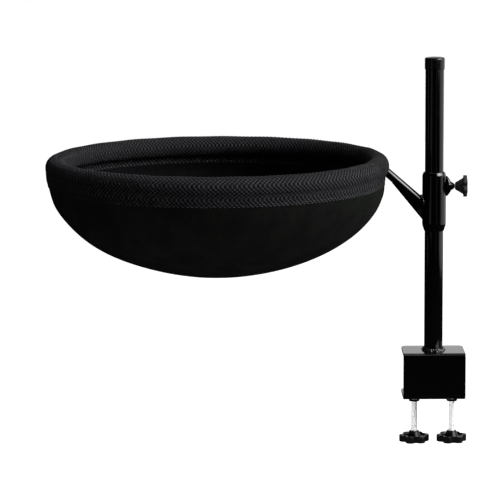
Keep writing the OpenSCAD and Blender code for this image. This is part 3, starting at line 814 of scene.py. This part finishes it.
class CATBED_OT_screws(Operator):
    """Clamp screws with their knobs, pressure discs and rubber faces"""

    bl_idname = "cat_bed.screws"
    bl_label = "Build clamp screws"

    def execute(self, context):
        clamp, looks = context.scene.cat_bed_clamp, finishes()
        # The screw ends in a neck and a ball, and the ball sits in the disc's socket
        thread_r, ball_r, neck_r = 3.95 * MM, 4 * MM, 2.5 * MM
        groove, plain_end = 0.72 * MM, 8 * MM
        room, mouth = 4.1 * MM, 3.1 * MM
        neck = -51.6 * MM
        thread_end = neck - 1.25 * MM
        for side in ("left", "right"):
            low, high = node_box(f"screw_{side}")
            x, ball = (low[0] + high[0]) / 2, high[2] - ball_r
            swing = np.linspace(math.asin(neck_r / ball_r), math.pi, 14)[:-1]
            tip = np.stack([ball_r * np.sin(swing), ball - ball_r * np.cos(swing)], 1)
            shank = [[thread_r, low[2]], [thread_r, thread_end], [neck_r, neck]]
            outline = np.concatenate([shank, tip, [[0.05 * MM, high[2]]]])
            thread = (clamp.thread_pitch, groove, low[2] + plain_end, thread_end)
            screw = threaded_bar(f"clamp_screw_{side}", outline, *thread, (x, 0, 0), "Z")
            place(screw, f"turn_{side}", looks["zinc"], f"screw_{side}")
            # Under-dish, lobed rim 9 mm high, dish 2 mm deep, hub and bore
            rows = [
                [0, 0, 0.5], [0, 11, 0.5], [0, 12, 0], [1, 0, 0], [1, 0, 9], [0, 15.2, 9],
                [0, 14.2, 7], [0, 9, 7], [0, 6.5, 14.5], [0, 3.97, 14.5], [0, 3.97, 3], [0, 0, 3],
            ]
            reach = (0, 0.4, 0.4, 2, 2, 0.4, 0.6, 1.2, 0.8, 0.3, 0.1, 0)
            base = node_box(f"knob_{side}")[0][2]
            knob = lobed_knob(f"clamp_knob_{side}", 20.5 * MM, rows, reach, (x, 0, base), "Z")
            place(knob, f"turn_{side}", looks["nylon"], f"knob_{side}")
            disc_low, disc_high = node_box(f"disc_{side}")
            foot, flange, face = disc_low[2], disc_high[2] - 3 * MM, disc_high[2]
            swing = np.linspace(0.03, math.pi - math.asin(mouth / room), 10)
            socket = np.stack([room * np.sin(swing), ball + room * np.cos(swing)], 1)
            hub_r, disc_r = 7 * MM, 14 * MM
            cup = [
                [mouth, foot], [hub_r, foot], [hub_r, flange], [disc_r, flange], [disc_r, face],
                [0, face],
            ]
            cup = soften(cup, mm(0, 0.8, 1.2, 0.8, 0.6, 0), 5)
            outline = np.concatenate([[[0, ball + room]], socket, cup])
            disc = turned(f"pressure_disc_{side}", outline, (x, 0, 0), count=96)
            place(disc, f"press_{side}", looks["disc"], f"disc_{side}")
            # The rubber face has two shallow rings that grip the desk
            pad_low, pad_high = node_box(f"disc_pad_{side}")
            radius, above = (pad_high[0] - pad_low[0]) / 2, pad_high[2]
            pad = [[0, pad_low[2]], [radius, pad_low[2]], [radius, above]]
            for ring in (10.5, 6.5):
                shallow = mm([ring, 0], [ring - 0.4, -0.5], [ring - 1.2, -0.5], [ring - 1.6, 0])
                pad += [*(shallow + [0, above])]
            pad.append([0, above])
            rubber = turned(f"disc_face_{side}", soften(pad, 0.25 * MM, 3), (x, 0, 0), count=96)
            place(rubber, f"press_{side}", looks["rubber"], f"disc_pad_{side}")
        return {"FINISHED"}


class CATBED_OT_sleeve(Operator):
    """Sleeve with its necked foot and rolled lip, and the guide bushes"""

    bl_idname = "cat_bed.sleeve"
    bl_label = "Build sleeve"

    def execute(self, context):
        looks = finishes()
        low, high, radius = SLEEVE_LOW[2], SLEEVE_HIGH[2], SLEEVE_HIGH[1]
        slide, bore = 12.55 * MM, radius - 2 * MM
        outline = [
            [slide, low], [13.15 * MM, low], [radius, low + 8 * MM], [radius, high - 4 * MM],
            [14.15 * MM, high], [slide, high], [slide, high - 2 * MM], [bore, high - 2 * MM],
            [bore, low + 7 * MM], [slide, low + 5 * MM],
        ]
        reach = mm(0.15, 0.3, 3.5, 2.2, 0.8, 0.3, 0.1, 0.1, 0.3, 0.3)
        sleeve = turned("sleeve", soften(outline, reach, 9, closed=True), count=256, closed=True)
        lock_low, lock_high = node_box("lock_screw")
        centre = (0, 0, (lock_low[2] + lock_high[2]) / 2)
        hole = mm([0, 8], [3.05, 8], [3.05, 22], [0, 22])
        cut(sleeve, turned("hole", hole, centre, "X", count=48))
        place(sleeve, "arm", looks["enamel"], "sleeve_tube")
        outside = radius - 2.05 * MM
        for node in ("bush_upper", "bush_lower"):
            bottom, top = (corner[2] for corner in node_box(node))
            ring = [[slide, bottom], [outside, bottom], [outside, top], [slide, top]]
            bush = turned(f"guide_{node}", soften(ring, 0.35 * MM, 4, closed=True), closed=True)
            place(bush, "carriage", looks["acetal"], node)
        return {"FINISHED"}


class CATBED_OT_lock(Operator):
    """Lock nut in its welded boss, the lock screw with its tip, and its knob"""

    bl_idname = "cat_bed.lock"
    bl_label = "Build sleeve lock"

    def execute(self, context):
        clamp, looks = context.scene.cat_bed_clamp, finishes()
        low, high = node_box("lock_screw")
        centre = (0, 0, (low[2] + high[2]) / 2)
        outline = mm([3, 15.5], [3, 26.6], [3.2, 26.8], [3.5, 26.8], [6.4, 22.4], [6.4, 15.5])
        outline = soften(outline, 0.2 * MM, 3, closed=True)
        nut = hex_nut("lock_nut_steel", 11 * MM, outline, centre, "X")
        place(nut, "arm", looks["enamel"], "lock_nut")
        place(self.boss(centre), "arm", looks["enamel"], "lock_boss")
        start, end = low[0], high[0]
        stub = mm([1.2, 0], [1.2, 1.8], [2.45, 1.86], [2.95, 2.86]) + [0, start]
        stub = np.concatenate([stub, [[2.95 * MM, end]]])
        groove, stub_end, plain_end = 0.55 * MM, 2.9 * MM, 6 * MM
        thread = (clamp.lock_pitch, groove, start + stub_end, end - plain_end)
        screw = threaded_bar("lock_screw_threaded", stub, *thread, centre, "X", count=36)
        place(screw, "lock", looks["zinc"], "lock_screw")
        tip_low, tip_high = node_box("lock_tip")
        tip_r, near, far = (tip_high[1] - tip_low[1]) / 2, tip_low[0], tip_high[0]
        stub_room = 1.25 * MM
        outline = [
            [0, near], [tip_r, near], [tip_r, far], [stub_room, far], [stub_room, start], [0, start],
        ]
        tip = turned("lock_tip_brass", soften(outline, 0.25 * MM, 4), centre, "X", count=64)
        place(tip, "tip", looks["brass"], "lock_tip")
        knob_low, knob_high = node_box("lock_knob")
        length = (knob_high[0] - knob_low[0]) / MM
        # Shallow under-dish, lobed rim 5 mm high, cone up to the hub, and bore
        rows = [
            [0, 0, 0.4], [0, 7.5, 0.4], [0, 8.5, 0], [1, 0, 0], [1, 0, 5], [0, 11.2, 5],
            [0, 4.7, length], [0, 2.97, length], [0, 2.97, 3], [0, 0, 3],
        ]
        reach = (0, 0.4, 0.4, 1.4, 1.6, 1.2, 0.8, 0.2, 0.1, 0)
        outer_end = (knob_high[0], 0, centre[2])
        knob = lobed_knob("lock_knob_lobed", 14.5 * MM, rows, reach, outer_end, "X")
        place(knob, "lock", looks["matt_nylon"], "lock_knob")
        return {"FINISHED"}

    @staticmethod
    def boss(centre):
        """Cone whose foot follows the sleeve, with the lumps of a hand weld.

        It is drawn out above and below the nut: across the sleeve its foot is about half as wide.
        """
        sleeve_r, foot_r, top_r = SLEEVE_HIGH[1], 14 * MM, 6.9 * MM
        core_r, core_foot, cone_foot, cone_top = 4.9 * MM, 15.4 * MM, 16.8 * MM, 22.4 * MM
        crest_size, lump_size, slimming = 0.45, 0.5, 0.52
        angle = round_angles(180)
        share = np.linspace(0, 1, 22)[None, :]
        crest = ripple(angle + 0.25 * share, 17, 9)
        swell = np.sin(math.pi * np.clip(share * 1.05, 0, 1))
        lumps = (crest_size * crest + lump_size) * MM * swell
        radius = foot_r + (top_r - foot_r) * share + lumps
        narrow = 1 - slimming * (1 - share) ** 0.7
        foot = np.sqrt(np.maximum(sleeve_r**2 - (radius * narrow * np.cos(angle)) ** 2, 0)) - 0.3 * MM
        cone = cone_foot + (cone_top - cone_foot) * share
        height = np.maximum(foot + (cone - foot) * np.clip(share * 6, 0, 1) ** 0.5, foot)
        ends = ((0, 0), (1, 1))
        radius = np.pad(radius, ends, constant_values=core_r)
        height = np.pad(height, ends, constant_values=((0, 0), (core_foot, cone_top)))
        narrow = np.pad(narrow, ends, constant_values=1.0)
        points = np.stack([height, radius * narrow * np.cos(angle), radius * np.sin(angle)], -1)
        return surface("lock_boss_weld", points + np.array(centre), wrap_v=True, sharp=60)


class CATBED_OT_arm(Operator):
    """Arm rod, gusset plate and the weld at the sleeve"""

    bl_idname = "cat_bed.arm"
    bl_label = "Build arm"

    def execute(self, context):
        sizes, looks = context.scene.cat_bed_arm, finishes()
        slope, radius, sleeve_r = sizes.slope, sizes.rod_radius, SLEEVE_HIGH[1]
        start = np.array([-sizes.reach, 0, HOOP_Z])
        way = np.array([math.cos(slope), 0, -math.sin(slope)])
        # The rod starts inside the rim and runs into the sleeve's wall
        reach, inside = (-start[0] - sleeve_r + 1.6 * MM) / math.cos(slope), 3 * MM
        rod = [[0, inside], [radius, inside], [radius, reach], [0, reach]]
        rod = along_line("arm_rod_round", soften(rod, mm(0, 0.5, 0.2, 0), 3), start, way)
        place(rod, "arm", looks["enamel"], "arm_rod")

        def middle(x):
            """Height of the rod's middle line."""
            return HOOP_Z - (x - start[0]) * math.tan(slope)

        # The gusset hangs from the rod's middle line and reaches into the sleeve's wall
        tip, wall, half = sizes.point - sizes.reach, -sleeve_r, sizes.plate / 2
        into = wall + 1 * MM
        below = radius / math.cos(slope)
        bottom = middle(wall) - below - sizes.drop
        outline = [
            [tip, middle(tip) - below * 0.4], [tip, middle(tip) - below],
            [wall, bottom], [into, bottom], [into, middle(wall)],
        ]
        outline = soften(outline, mm(0.2, 3, 1.5, 0.1, 0.1), 5, closed=True)
        gusset = slab("gusset", outline, -half, half, 0.6 * MM, "XZ")
        place(gusset, "arm", looks["enamel"], "gusset_plate")
        # The bead lies where the rod's surface meets the sleeve's, and a seam runs down each side
        # of the gusset. The seams' radius and crests are in millimetres
        seam_size, crest_size = 1.35, 0.4
        angle = round_angles(260)[:, 0]
        y = radius * np.sin(angle)
        x = -np.sqrt(sleeve_r**2 - y**2)
        run = (x - start[0] - radius * np.cos(angle) * math.sin(slope)) / math.cos(slope)
        z = start[2] - run * math.sin(slope) + radius * np.cos(angle) * math.cos(slope)
        size = sizes.weld + 0.25 * MM * ripple(angle, 13, 6)
        parts = [bead("ring", np.stack([x - 0.4 * MM, y, z], 1), size)]
        share = np.linspace(0, 1, 90)
        level = bottom + 0.8 * MM + (middle(wall) - below - bottom) * share
        swell = np.sin(math.pi * np.clip(share * 0.92 + 0.02, 0, 1)) ** 0.35
        for side in (-1, 1):
            path = np.broadcast_arrays(wall - 0.1 * MM, side * (half + 0.2 * MM), level)
            size = (seam_size + crest_size * ripple(share * TURN, 7, 11 + side)) * swell
            size[0] = 0.02
            parts.append(bead("seam", np.stack(path, 1), size * MM, closed=False, count=12))
        place(joined("arm_weld_bead", parts), "arm", looks["enamel"], "arm_weld")
        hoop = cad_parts["hoop_rod"]
        hoop.data.materials.clear()
        hoop.data.materials.append(looks["enamel"][1])
        return {"FINISHED"}


class CATBED_OT_rim(Operator):
    """Padded rim: herringbone webbing over foam, folded down both faces of the bowl"""

    bl_idname = "cat_bed.rim"
    bl_label = "Build rim"

    def execute(self, context):
        rim, looks = context.scene.cat_bed_rim, finishes()
        count = rim.ribs * RIB_STEPS
        turn = np.arange(count)[:, None] / count
        angle = turn * TURN
        radius, height = self.section(rim, angle)
        step = np.hypot(np.diff(radius, axis=1), np.diff(height, axis=1))
        length = np.concatenate([np.zeros((count, 1)), np.cumsum(step, 1)], 1)
        # Even steps along the section, for the ribs: both columns are read off at the same lengths
        even = np.linspace(0, length[0, -1], 69)
        pick = np.clip(np.searchsorted(length[0], even) - 1, 0, length.shape[1] - 2)
        gap = length[0, pick + 1] - length[0, pick]
        part = np.clip((even - length[0, pick]) / gap, 0, 1)[None, :]
        radius, height = (
            side[:, pick] * (1 - part) + side[:, pick + 1] * part for side in (radius, height)
        )
        ahead_r, ahead_z = np.gradient(radius, axis=1), np.gradient(height, axis=1)
        norm = np.hypot(ahead_r, ahead_z)
        out_r, out_z = ahead_z / norm, -ahead_r / norm
        # Ribs: a wave whose phase is the rib count round the hoop plus a zigzag up the webbing
        pitch = TURN * rim.hoop_radius / rim.ribs
        zigzag = np.abs((even / rim.row + 1) % 2 - 1) * rim.row / pitch
        wave = np.cos(TURN * (turn * rim.ribs + zigzag[None, :]))
        fade = np.clip(np.minimum(even, even[-1] - even) / (2.5 * MM), 0, 1)
        # Over the join at the arm the ribs lie hidden under a plain cover that stands proud
        cover = 0.2 * MM
        from_arm = np.minimum(turn, 1 - turn) * rim.ribs - rim.join / TURN * rim.ribs
        woven = smoothed(from_arm / 0.8 + 0.5)
        relief = rim.relief * (0.5 * wave - 0.5) * fade * woven + cover * (1 - woven) * fade
        # The foam under the webbing is a little uneven, and one crease runs along the webbing
        rng = np.random.default_rng(21)
        sway = sum(
            rng.uniform(-0.22, 0.22) * MM
            * np.sin(TURN * (k * turn + rng.random()) + m * even[None, :] * 60)
            for k, m in ((3, 1), (5, -1), (8, 2), (13, -2), (21, 1))
        )
        fold_height, fold_width, fold_length, fold_slope = 1 * MM, 1.3 * MM, 15 * MM, 0.10
        along = (angle - rim.crease_turn) * rim.hoop_radius
        fold = (-height - rim.crease_depth - fold_slope * along) / fold_width
        crease = fold_height * np.exp(-(fold**2) - (along / fold_length) ** 4) * (out_r > 0)
        lift = relief + sway + crease
        points = around(radius + out_r * lift, angle, height + out_z * lift) + HOOP_MIDDLE
        uv = (np.arange(count + 1) / RIB_STEPS, np.append(even, even[-1] + 8 * MM) / pitch)
        webbing = surface("rim_webbing", points, wrap_v=True, sharp=50, uv=uv)
        place(webbing, "arm", looks["webbing"], "rim_casing", "rim_foam")
        return {"FINISHED"}

    @staticmethod
    def section(rim, angle):
        """The webbing's section: from its lower edge outside, up over the foam and down inside."""
        shoulder, roll_depth = 4 * MM, 9 * MM
        up = np.linspace(-rim.leg_depth, -shoulder, 22)[None, :]
        foam = rim.hoop_radius + np.sqrt(np.maximum(rim.rim_radius**2 - up**2, 0))
        outer = np.maximum(casing_radius(-up, angle, 1), foam)
        meet = np.arccos((casing_radius(roll_depth, angle, -1) - rim.hoop_radius) / rim.rim_radius)
        share = np.linspace(0, 1, 64)[None, :]
        swing = -math.asin(shoulder / rim.rim_radius) * (1 - share) + (TURN - meet) * share
        arc_r = rim.hoop_radius + rim.rim_radius * np.cos(swing)
        arc_z = rim.rim_radius * np.sin(swing)
        drop = arc_z[:, -1:] + (-rim.leg_depth - arc_z[:, -1:]) * np.linspace(0, 1, 14)[None, 1:]
        radius = np.concatenate([outer[:, :-1], arc_r, casing_radius(-drop, angle, -1)], 1)
        return radius, np.concatenate([np.broadcast_to(up, outer.shape)[:, :-1], arc_z, drop], 1)


class CATBED_OT_bowl(Operator):
    """Bowl of felted cloth over padding, with its lining"""

    bl_idname = "cat_bed.bowl"
    bl_label = "Build bowl"

    def execute(self, context):
        bowl, looks = context.scene.cat_bed_bowl, finishes()
        inner = bowl.cloth + bowl.padding
        # Each skin: name, inset, thickness, seed, push, cells, look and node
        for *skin, look, node in (
            ("bowl_cloth", 0.0, bowl.cloth, 3, 4.0, 100, "cloth", "bowl_fabric"),
            ("bowl_wadding", bowl.cloth, bowl.padding, 5, 0.0, 48, "wadding", "bowl_padding"),
            ("bowl_liner", inner, bowl.lining, 8, -2.0, 100, "lining", "bowl_lining"),
        ):
            piece = bowl_skin(*skin)
            place(piece, "arm", looks[look], node)
        return {"FINISHED"}


def bowl_skin(name, inset, thickness, seed, push, cells):
    """One skin of the bowl: the wall's profile turned round the hoop's axis, then settled as cloth.

    The grid is a square drawn out to a disc: its rings are squares of half side m, which become
    circles, and the angle runs evenly along each side. The pole is m = 0 and the rim m = 1. Low
    waves of the angle, fading towards the rim, stand for the unevenness of a hand-sewn bowl.
    """
    bowl = bpy.context.scene.cat_bed_bowl
    line = np.linspace(-1, 1, cells + 1)
    a, b = line[:, None], line[None, :]
    wide = np.abs(a) >= np.abs(b)
    ring = np.maximum(np.abs(a), np.abs(b))
    base = np.where(wide, a, b)
    lean = np.where(wide, b, a) / np.where(base == 0, 1, base) * math.pi / 4
    lengthwise = np.where(a >= 0, lean, math.pi + lean)
    crosswise = np.where(b >= 0, QUARTER - lean, -QUARTER - lean)
    angle = np.where(wide, lengthwise, crosswise)
    share = np.cos(ring * (QUARTER - math.asin(SKIN_TOP / bowl.depth)))
    radius, height = wall_point(share, inset, angle)
    radius = np.where(ring == 0, 0, radius)
    free = smoothed((-height - SEWN_DEPTH) / SEWN_DEPTH)
    rng = np.random.default_rng(seed)
    waves = sum(
        rng.uniform(0.15, 0.4) * MM * np.sin(k * angle + rng.uniform(0, TURN) + 9 * share)
        for k in (2, 3, 5, 7, 11)
    )
    # The skin starts a little back from where it is pushed, and its waves fade towards the pole
    set_back, calm = 1.5 * MM * np.sign(push), 60 * MM
    radius = radius + (waves - set_back) * free * np.clip(radius / calm, 0, 1)
    obj = surface(name, around(radius, angle, height) + HOOP_MIDDLE, wrap_u=False, sharp=180)
    if push:
        settle(obj, push)
    wall = obj.modifiers.new("thickness", "SOLIDIFY")
    wall.thickness, wall.offset = thickness, -1
    smooth = obj.modifiers.new("smooth", "SUBSURF")
    smooth.levels = smooth.render_levels = 1
    return obj


def settle(obj, push):
    """Lets a skin settle as cloth: sewn at the rim, cut a little large, pushed by the padding."""
    scene, bowl = bpy.context.scene, bpy.context.scene.cat_bed_bowl
    mesh = obj.data
    start = np.empty(len(mesh.vertices) * 3, np.float32)
    mesh.vertices.foreach_get("co", start)
    start = start.reshape(-1, 3)
    depth = HOOP_Z - start[:, 2]
    # Below the sewn part its hold fades in two bands
    sewn, above = obj.vertex_groups.new(name="sewn"), -math.inf
    for weight, far in ((1.0, SEWN_DEPTH), (0.6, 30 * MM), (0.25, 34 * MM)):
        sewn.add(np.flatnonzero((depth > above) & (depth <= far)).tolist(), weight, "REPLACE")
        above = far
    cloth = obj.modifiers.new("cloth", "CLOTH")
    setup = cloth.settings
    setup.vertex_group_mass = "sewn"
    setup.quality, setup.mass = 6, 0.3
    setup.tension_stiffness = setup.compression_stiffness = 12
    setup.shear_stiffness, setup.bending_stiffness = 4, 0.4
    setup.use_pressure, setup.uniform_pressure_force = True, push
    setup.shrink_min = -bowl.slack
    setup.effector_weights.gravity = 0
    cloth.collision_settings.use_collision = False
    for number in range(1, SETTLE_FRAMES + 1):
        scene.frame_set(number)
    shape = obj.evaluated_get(bpy.context.evaluated_depsgraph_get())
    after = np.empty_like(start).ravel()
    shape.data.vertices.foreach_get("co", after)
    move = after.reshape(-1, 3) - start
    size = np.linalg.norm(move, axis=1, keepdims=True)
    move *= np.minimum(1, bowl.most_move / np.maximum(size, 1e-9))
    obj.modifiers.remove(cloth)
    mesh.vertices.foreach_set("co", (start + move).astype(np.float32).ravel())
    mesh.update()
    scene.frame_set(1)


class CATBED_OT_stitching(Operator):
    """Rows of stitches that hold the webbing to the bowl"""

    bl_idname = "cat_bed.stitching"
    bl_label = "Build stitching"

    def execute(self, context):
        rim, looks = context.scene.cat_bed_rim, finishes()
        depth = rim.leg_depth - SEAM_INSET
        count = int(TURN * rim.hoop_radius / rim.stitch)
        middle = (np.arange(count) + 0.5) * TURN / count
        # Each stitch is a short round thread whose ends dip into the webbing
        share = np.linspace(-1, 1, 7)
        swing = round_angles(6)[:, 0]
        half_length, clear = rim.stitch * 0.40, 0.02 * MM
        angle = middle[:, None, None] + half_length / rim.hoop_radius * share[None, :, None]
        thick = rim.thread / 2 * np.sqrt(np.clip(1.02 - share**2, 0, 1))[None, :, None]
        sink = (rim.thread * 0.5 * share**4)[None, :, None]
        height = -depth + thick * np.sin(swing)
        for name, way in (("stitches_outside", 1), ("stitches_inside", -1)):
            radius = casing_radius(depth, angle, way) + way * clear
            distance = radius + way * (thick * np.cos(swing) - sink)
            points = around(*np.broadcast_arrays(distance, angle, height)) + HOOP_MIDDLE
            place(repeated(name, points), "arm", looks["thread"])
        return {"FINISHED"}


def repeated(name, points):
    """One piece from many small closed tubes, points[copy, along, around], each end one face."""
    copies, rows, columns = points.shape[:3]
    index = np.arange(copies * rows * columns).reshape(copies, rows, columns)
    ahead = np.roll(index, -1, 2)
    quads = np.stack([index[:, :-1], index[:, 1:], ahead[:, 1:], ahead[:, :-1]], -1).reshape(-1, 4)
    caps = np.concatenate([index[:, 0], index[:, -1, ::-1]])
    mesh = bpy.data.meshes.new(name)
    mesh.from_pydata(points.reshape(-1, 3).tolist(), [], quads.tolist() + caps.tolist())
    return tidy(name, mesh, 60)


class CATBED_OT_stage(Operator):
    """Floor, light and camera"""

    bl_idname = "cat_bed.stage"
    bl_label = "Build stage"

    def execute(self, context):
        scene, sizes = context.scene, context.scene.cat_bed_stage
        scene.view_settings.view_transform = "Standard"
        self.floor(sizes)
        self.world(scene, sizes)
        self.lamps(scene, sizes)
        camera = bpy.data.objects.new("camera", bpy.data.cameras.new("camera"))
        scene.collection.objects.link(camera)
        camera.data.sensor_width, camera.data.lens = 36, sizes.lens
        camera.data.clip_start, camera.data.clip_end = 0.05, 60
        pitch, roll = sizes.pitch, sizes.roll
        ahead = np.array([0, math.cos(pitch), -math.sin(pitch)])
        right, up = np.array([1.0, 0, 0]), np.array([0, math.sin(pitch), math.cos(pitch)])
        tilted_right = right * math.cos(roll) + up * math.sin(roll)
        tilted_up = up * math.cos(roll) - right * math.sin(roll)
        turn = Matrix(np.stack([tilted_right, tilted_up, -ahead], 1).tolist()).to_4x4()
        camera.matrix_world = Matrix.Translation(sizes.camera_place) @ turn
        scene.camera = camera
        return {"FINISHED"}

    @staticmethod
    def floor(sizes):
        """Paper that is lit by the lamps near the object, and runs out to white away from it.

        Its underside is clear, so the object shows from below. To glossy rays it is dark grey, a
        painted dark reflection of the floor in the object's gloss.
        """
        side, near, far = 3.0, -3.0, 8.0
        corners = [[[-side, near], [-side, far]], [[side, near], [side, far]]]
        points = np.concatenate([corners, np.full((2, 2, 1), sizes.floor_z)], -1)
        floor = surface("floor", points, wrap_u=False)
        if floor.data.polygons[0].normal.z < 0:
            floor.data.flip_normals()
        made, tree = material("pale_paper_sweep")
        at = {0: add(tree, "TexCoord").outputs["Object"], 1: (HOOP_X, 0, sizes.floor_z)}
        away = add(tree, "VectorMath", at, operation="DISTANCE")
        span = {"Value": away, "From Min": 0.45, "From Max": 1.5, "To Min": 0.30, "To Max": 1.0}
        run_out = add(tree, "MapRange", span, interpolation_type="SMOOTHSTEP")
        seen = add(tree, "LightPath").outputs
        glow = add(tree, "Math", {0: seen["Is Camera Ray"], 1: run_out}, operation="MULTIPLY")
        # To glossy rays the paper is painted dark grey: a painted dark reflection in the object's
        # gloss
        tones = {"Factor": seen["Is Glossy Ray"], "A": linear("#f4f4f4"), "B": linear("#303030")}
        paper = add(tree, "BsdfDiffuse", {"Color": add(tree, "Mix", tones, data_type="RGBA")})
        white = add(tree, "Emission", {"Color": linear("#ffffff"), "Strength": glow})
        both = add(tree, "AddShader", {0: paper, 1: white})
        under = add(tree, "NewGeometry").outputs["Backfacing"]
        sheet = add(tree, "MixShader", {0: under, 1: both, 2: add(tree, "BsdfTransparent")})
        add(tree, "OutputMaterial", {"Surface": sheet})
        floor.data.materials.append(made)

    @staticmethod
    def world(scene, sizes):
        """World that is white to the camera, and a studio to glossy surfaces.

        What a glossy surface sees goes by the direction's azimuth, in degrees from straight back
        towards the right: a window wall from behind round to the right, black flags elsewhere,
        and three thin gaps between the flags. The wall ends at about 20 degrees up. A softbox
        stands at the front on the right, 30 degrees up, a strip lamp on the right, 40 degrees up,
        and a weak light overhead.
        """
        world = bpy.data.worlds.new("studio")
        scene.world = world
        world.use_nodes = True
        world.cycles.sampling_method = "NONE"
        tree = world.node_tree
        tree.nodes.clear()
        heading = add(tree, "TexCoord").outputs["Generated"]
        way = add(tree, "SeparateXYZ", {"Vector": heading}).outputs
        azimuth = add(tree, "Math", {0: way["X"], 1: way["Y"]}, operation="ARCTAN2")
        turn = add(tree, "MapRange", {"Value": azimuth, "From Min": -math.pi, "From Max": math.pi})
        wall = add(tree, "ValToRGB", {"Fac": turn})
        flag = 0.003
        stops = [
            (-152, flag), (-146, 0.2), (-130, 0.2), (-124, flag), (-102, flag), (-97, 0.2), (-90, 0.2),
            (-86, flag), (-14, flag), (-5, 0.95), (105, 0.95), (114, 0.4), (122, flag), (153, flag),
            (157, 0.16), (161, 0.16), (165, flag),
        ]
        ramp = wall.color_ramp.elements
        for k, (degrees, value) in enumerate(stops):
            stop = ramp[k] if k < 2 else ramp.new(1.0)
            stop.position, stop.color = (degrees + 180) / 360, (value, value, value, 1)
        span = {"Value": way["Z"], "From Min": 0.24, "From Max": 0.36, "To Min": 1.0, "To Max": 0.0}
        height = add(tree, "MapRange", span, interpolation_type="SMOOTHSTEP")
        seen = add(tree, "Math", {0: wall, 1: height}, operation="MULTIPLY")
        # Each patch is brightest where the heading lies along its aim: overhead, softbox, strip
        patches = (
            ((0.0, 0.0, 1.0), 0.88, 0.97, 0.6),
            ((0.640, -0.582, 0.501), 0.93, 0.99, 10.0),
            ((0.749, 0.069, 0.657), 0.95, 0.985, 3.0),
        )
        for aim, edge, core, bright in patches:
            along = add(tree, "VectorMath", {0: heading, 1: aim}, operation="DOT_PRODUCT")
            span = {"Value": along, "From Min": edge, "From Max": core, "To Max": bright}
            patch = add(tree, "MapRange", span, interpolation_type="SMOOTHSTEP")
            seen = add(tree, "Math", {0: seen, 1: patch}, operation="MAXIMUM")
        path = add(tree, "LightPath").outputs
        direct = {0: path["Is Camera Ray"], 1: path["Is Transmission Ray"]}
        plain = add(tree, "Math", direct, operation="MAXIMUM")
        ambient = add(tree, "Mix", {"Factor": plain, "A": sizes.ambient, "B": 1.0}, data_type="FLOAT")
        both = {"Factor": path["Is Glossy Ray"], "A": ambient, "B": seen}
        strength = add(tree, "Mix", both, data_type="FLOAT")
        sky = add(tree, "Background", {"Color": linear("#ffffff"), "Strength": strength})
        add(tree, "OutputWorld", {"Surface": sky})

    @staticmethod
    def lamps(scene, sizes):
        """Soft key and top lamps, and a narrow low lamp on the clamp screws that no gloss shows."""
        bed, clamp = (-0.2, 0.0, 0.15), (0.0, 0.0, -0.09)
        lamps = (
            ("key", (1.75, -0.5, 1.50), bed, 1.5, 180, sizes.key_power),
            ("top", (-0.5, 0.2, 2.4), bed, 1.2, 180, sizes.top_power),
            ("low", (-0.75, -0.75, -0.30), clamp, 0.25, 24, sizes.low_power),
        )
        for name, spot, aim, size, spread, power in lamps:
            lamp = bpy.data.objects.new(name, bpy.data.lights.new(name, "AREA"))
            lamp.data.size, lamp.data.spread, lamp.data.energy = size, math.radians(spread), power
            lamp.visible_glossy = name != "low"
            scene.collection.objects.link(lamp)
            back = unit(np.array(spot) - aim)
            side = unit(np.cross([0.0, 1.0, 0.02], back))
            turn = Matrix(np.stack([side, np.cross(back, side), back], 1).tolist()).to_4x4()
            lamp.matrix_world = Matrix.Translation(spot) @ turn


class CATBED_PT_panel(Panel):
    """Lists the builders and their sizes"""

    bl_label = "Cat Bed"
    bl_space_type = "VIEW_3D"
    bl_region_type = "UI"
    bl_category = "Cat Bed"

    def draw(self, context):
        for builder in BUILDERS:
            self.layout.operator(builder.bl_idname)
        for group, kind in GROUPS.items():
            box = self.layout.box()
            box.label(text=kind.__doc__)
            for name in kind.__annotations__:
                box.prop(getattr(context.scene, group), name)


BUILDERS = (
    CATBED_OT_clamp, CATBED_OT_post, CATBED_OT_screws, CATBED_OT_sleeve, CATBED_OT_lock,
    CATBED_OT_arm, CATBED_OT_rim, CATBED_OT_bowl, CATBED_OT_stitching, CATBED_OT_stage,
)


def register():
    for group in GROUPS.values():
        bpy.utils.register_class(group)
    for name, group in GROUPS.items():
        setattr(bpy.types.Scene, name, PointerProperty(type=group))
    for builder in (*BUILDERS, CATBED_PT_panel):
        bpy.utils.register_class(builder)


def unregister():
    for builder in (CATBED_PT_panel, *reversed(BUILDERS)):
        bpy.utils.unregister_class(builder)
    for name in GROUPS:
        delattr(bpy.types.Scene, name)
    for group in GROUPS.values():
        bpy.utils.unregister_class(group)


def main():
    register()
    for builder in BUILDERS:
        group, action = builder.bl_idname.split(".")
        getattr(getattr(bpy.ops, group), action)()


if __name__ == "__main__":
    main()
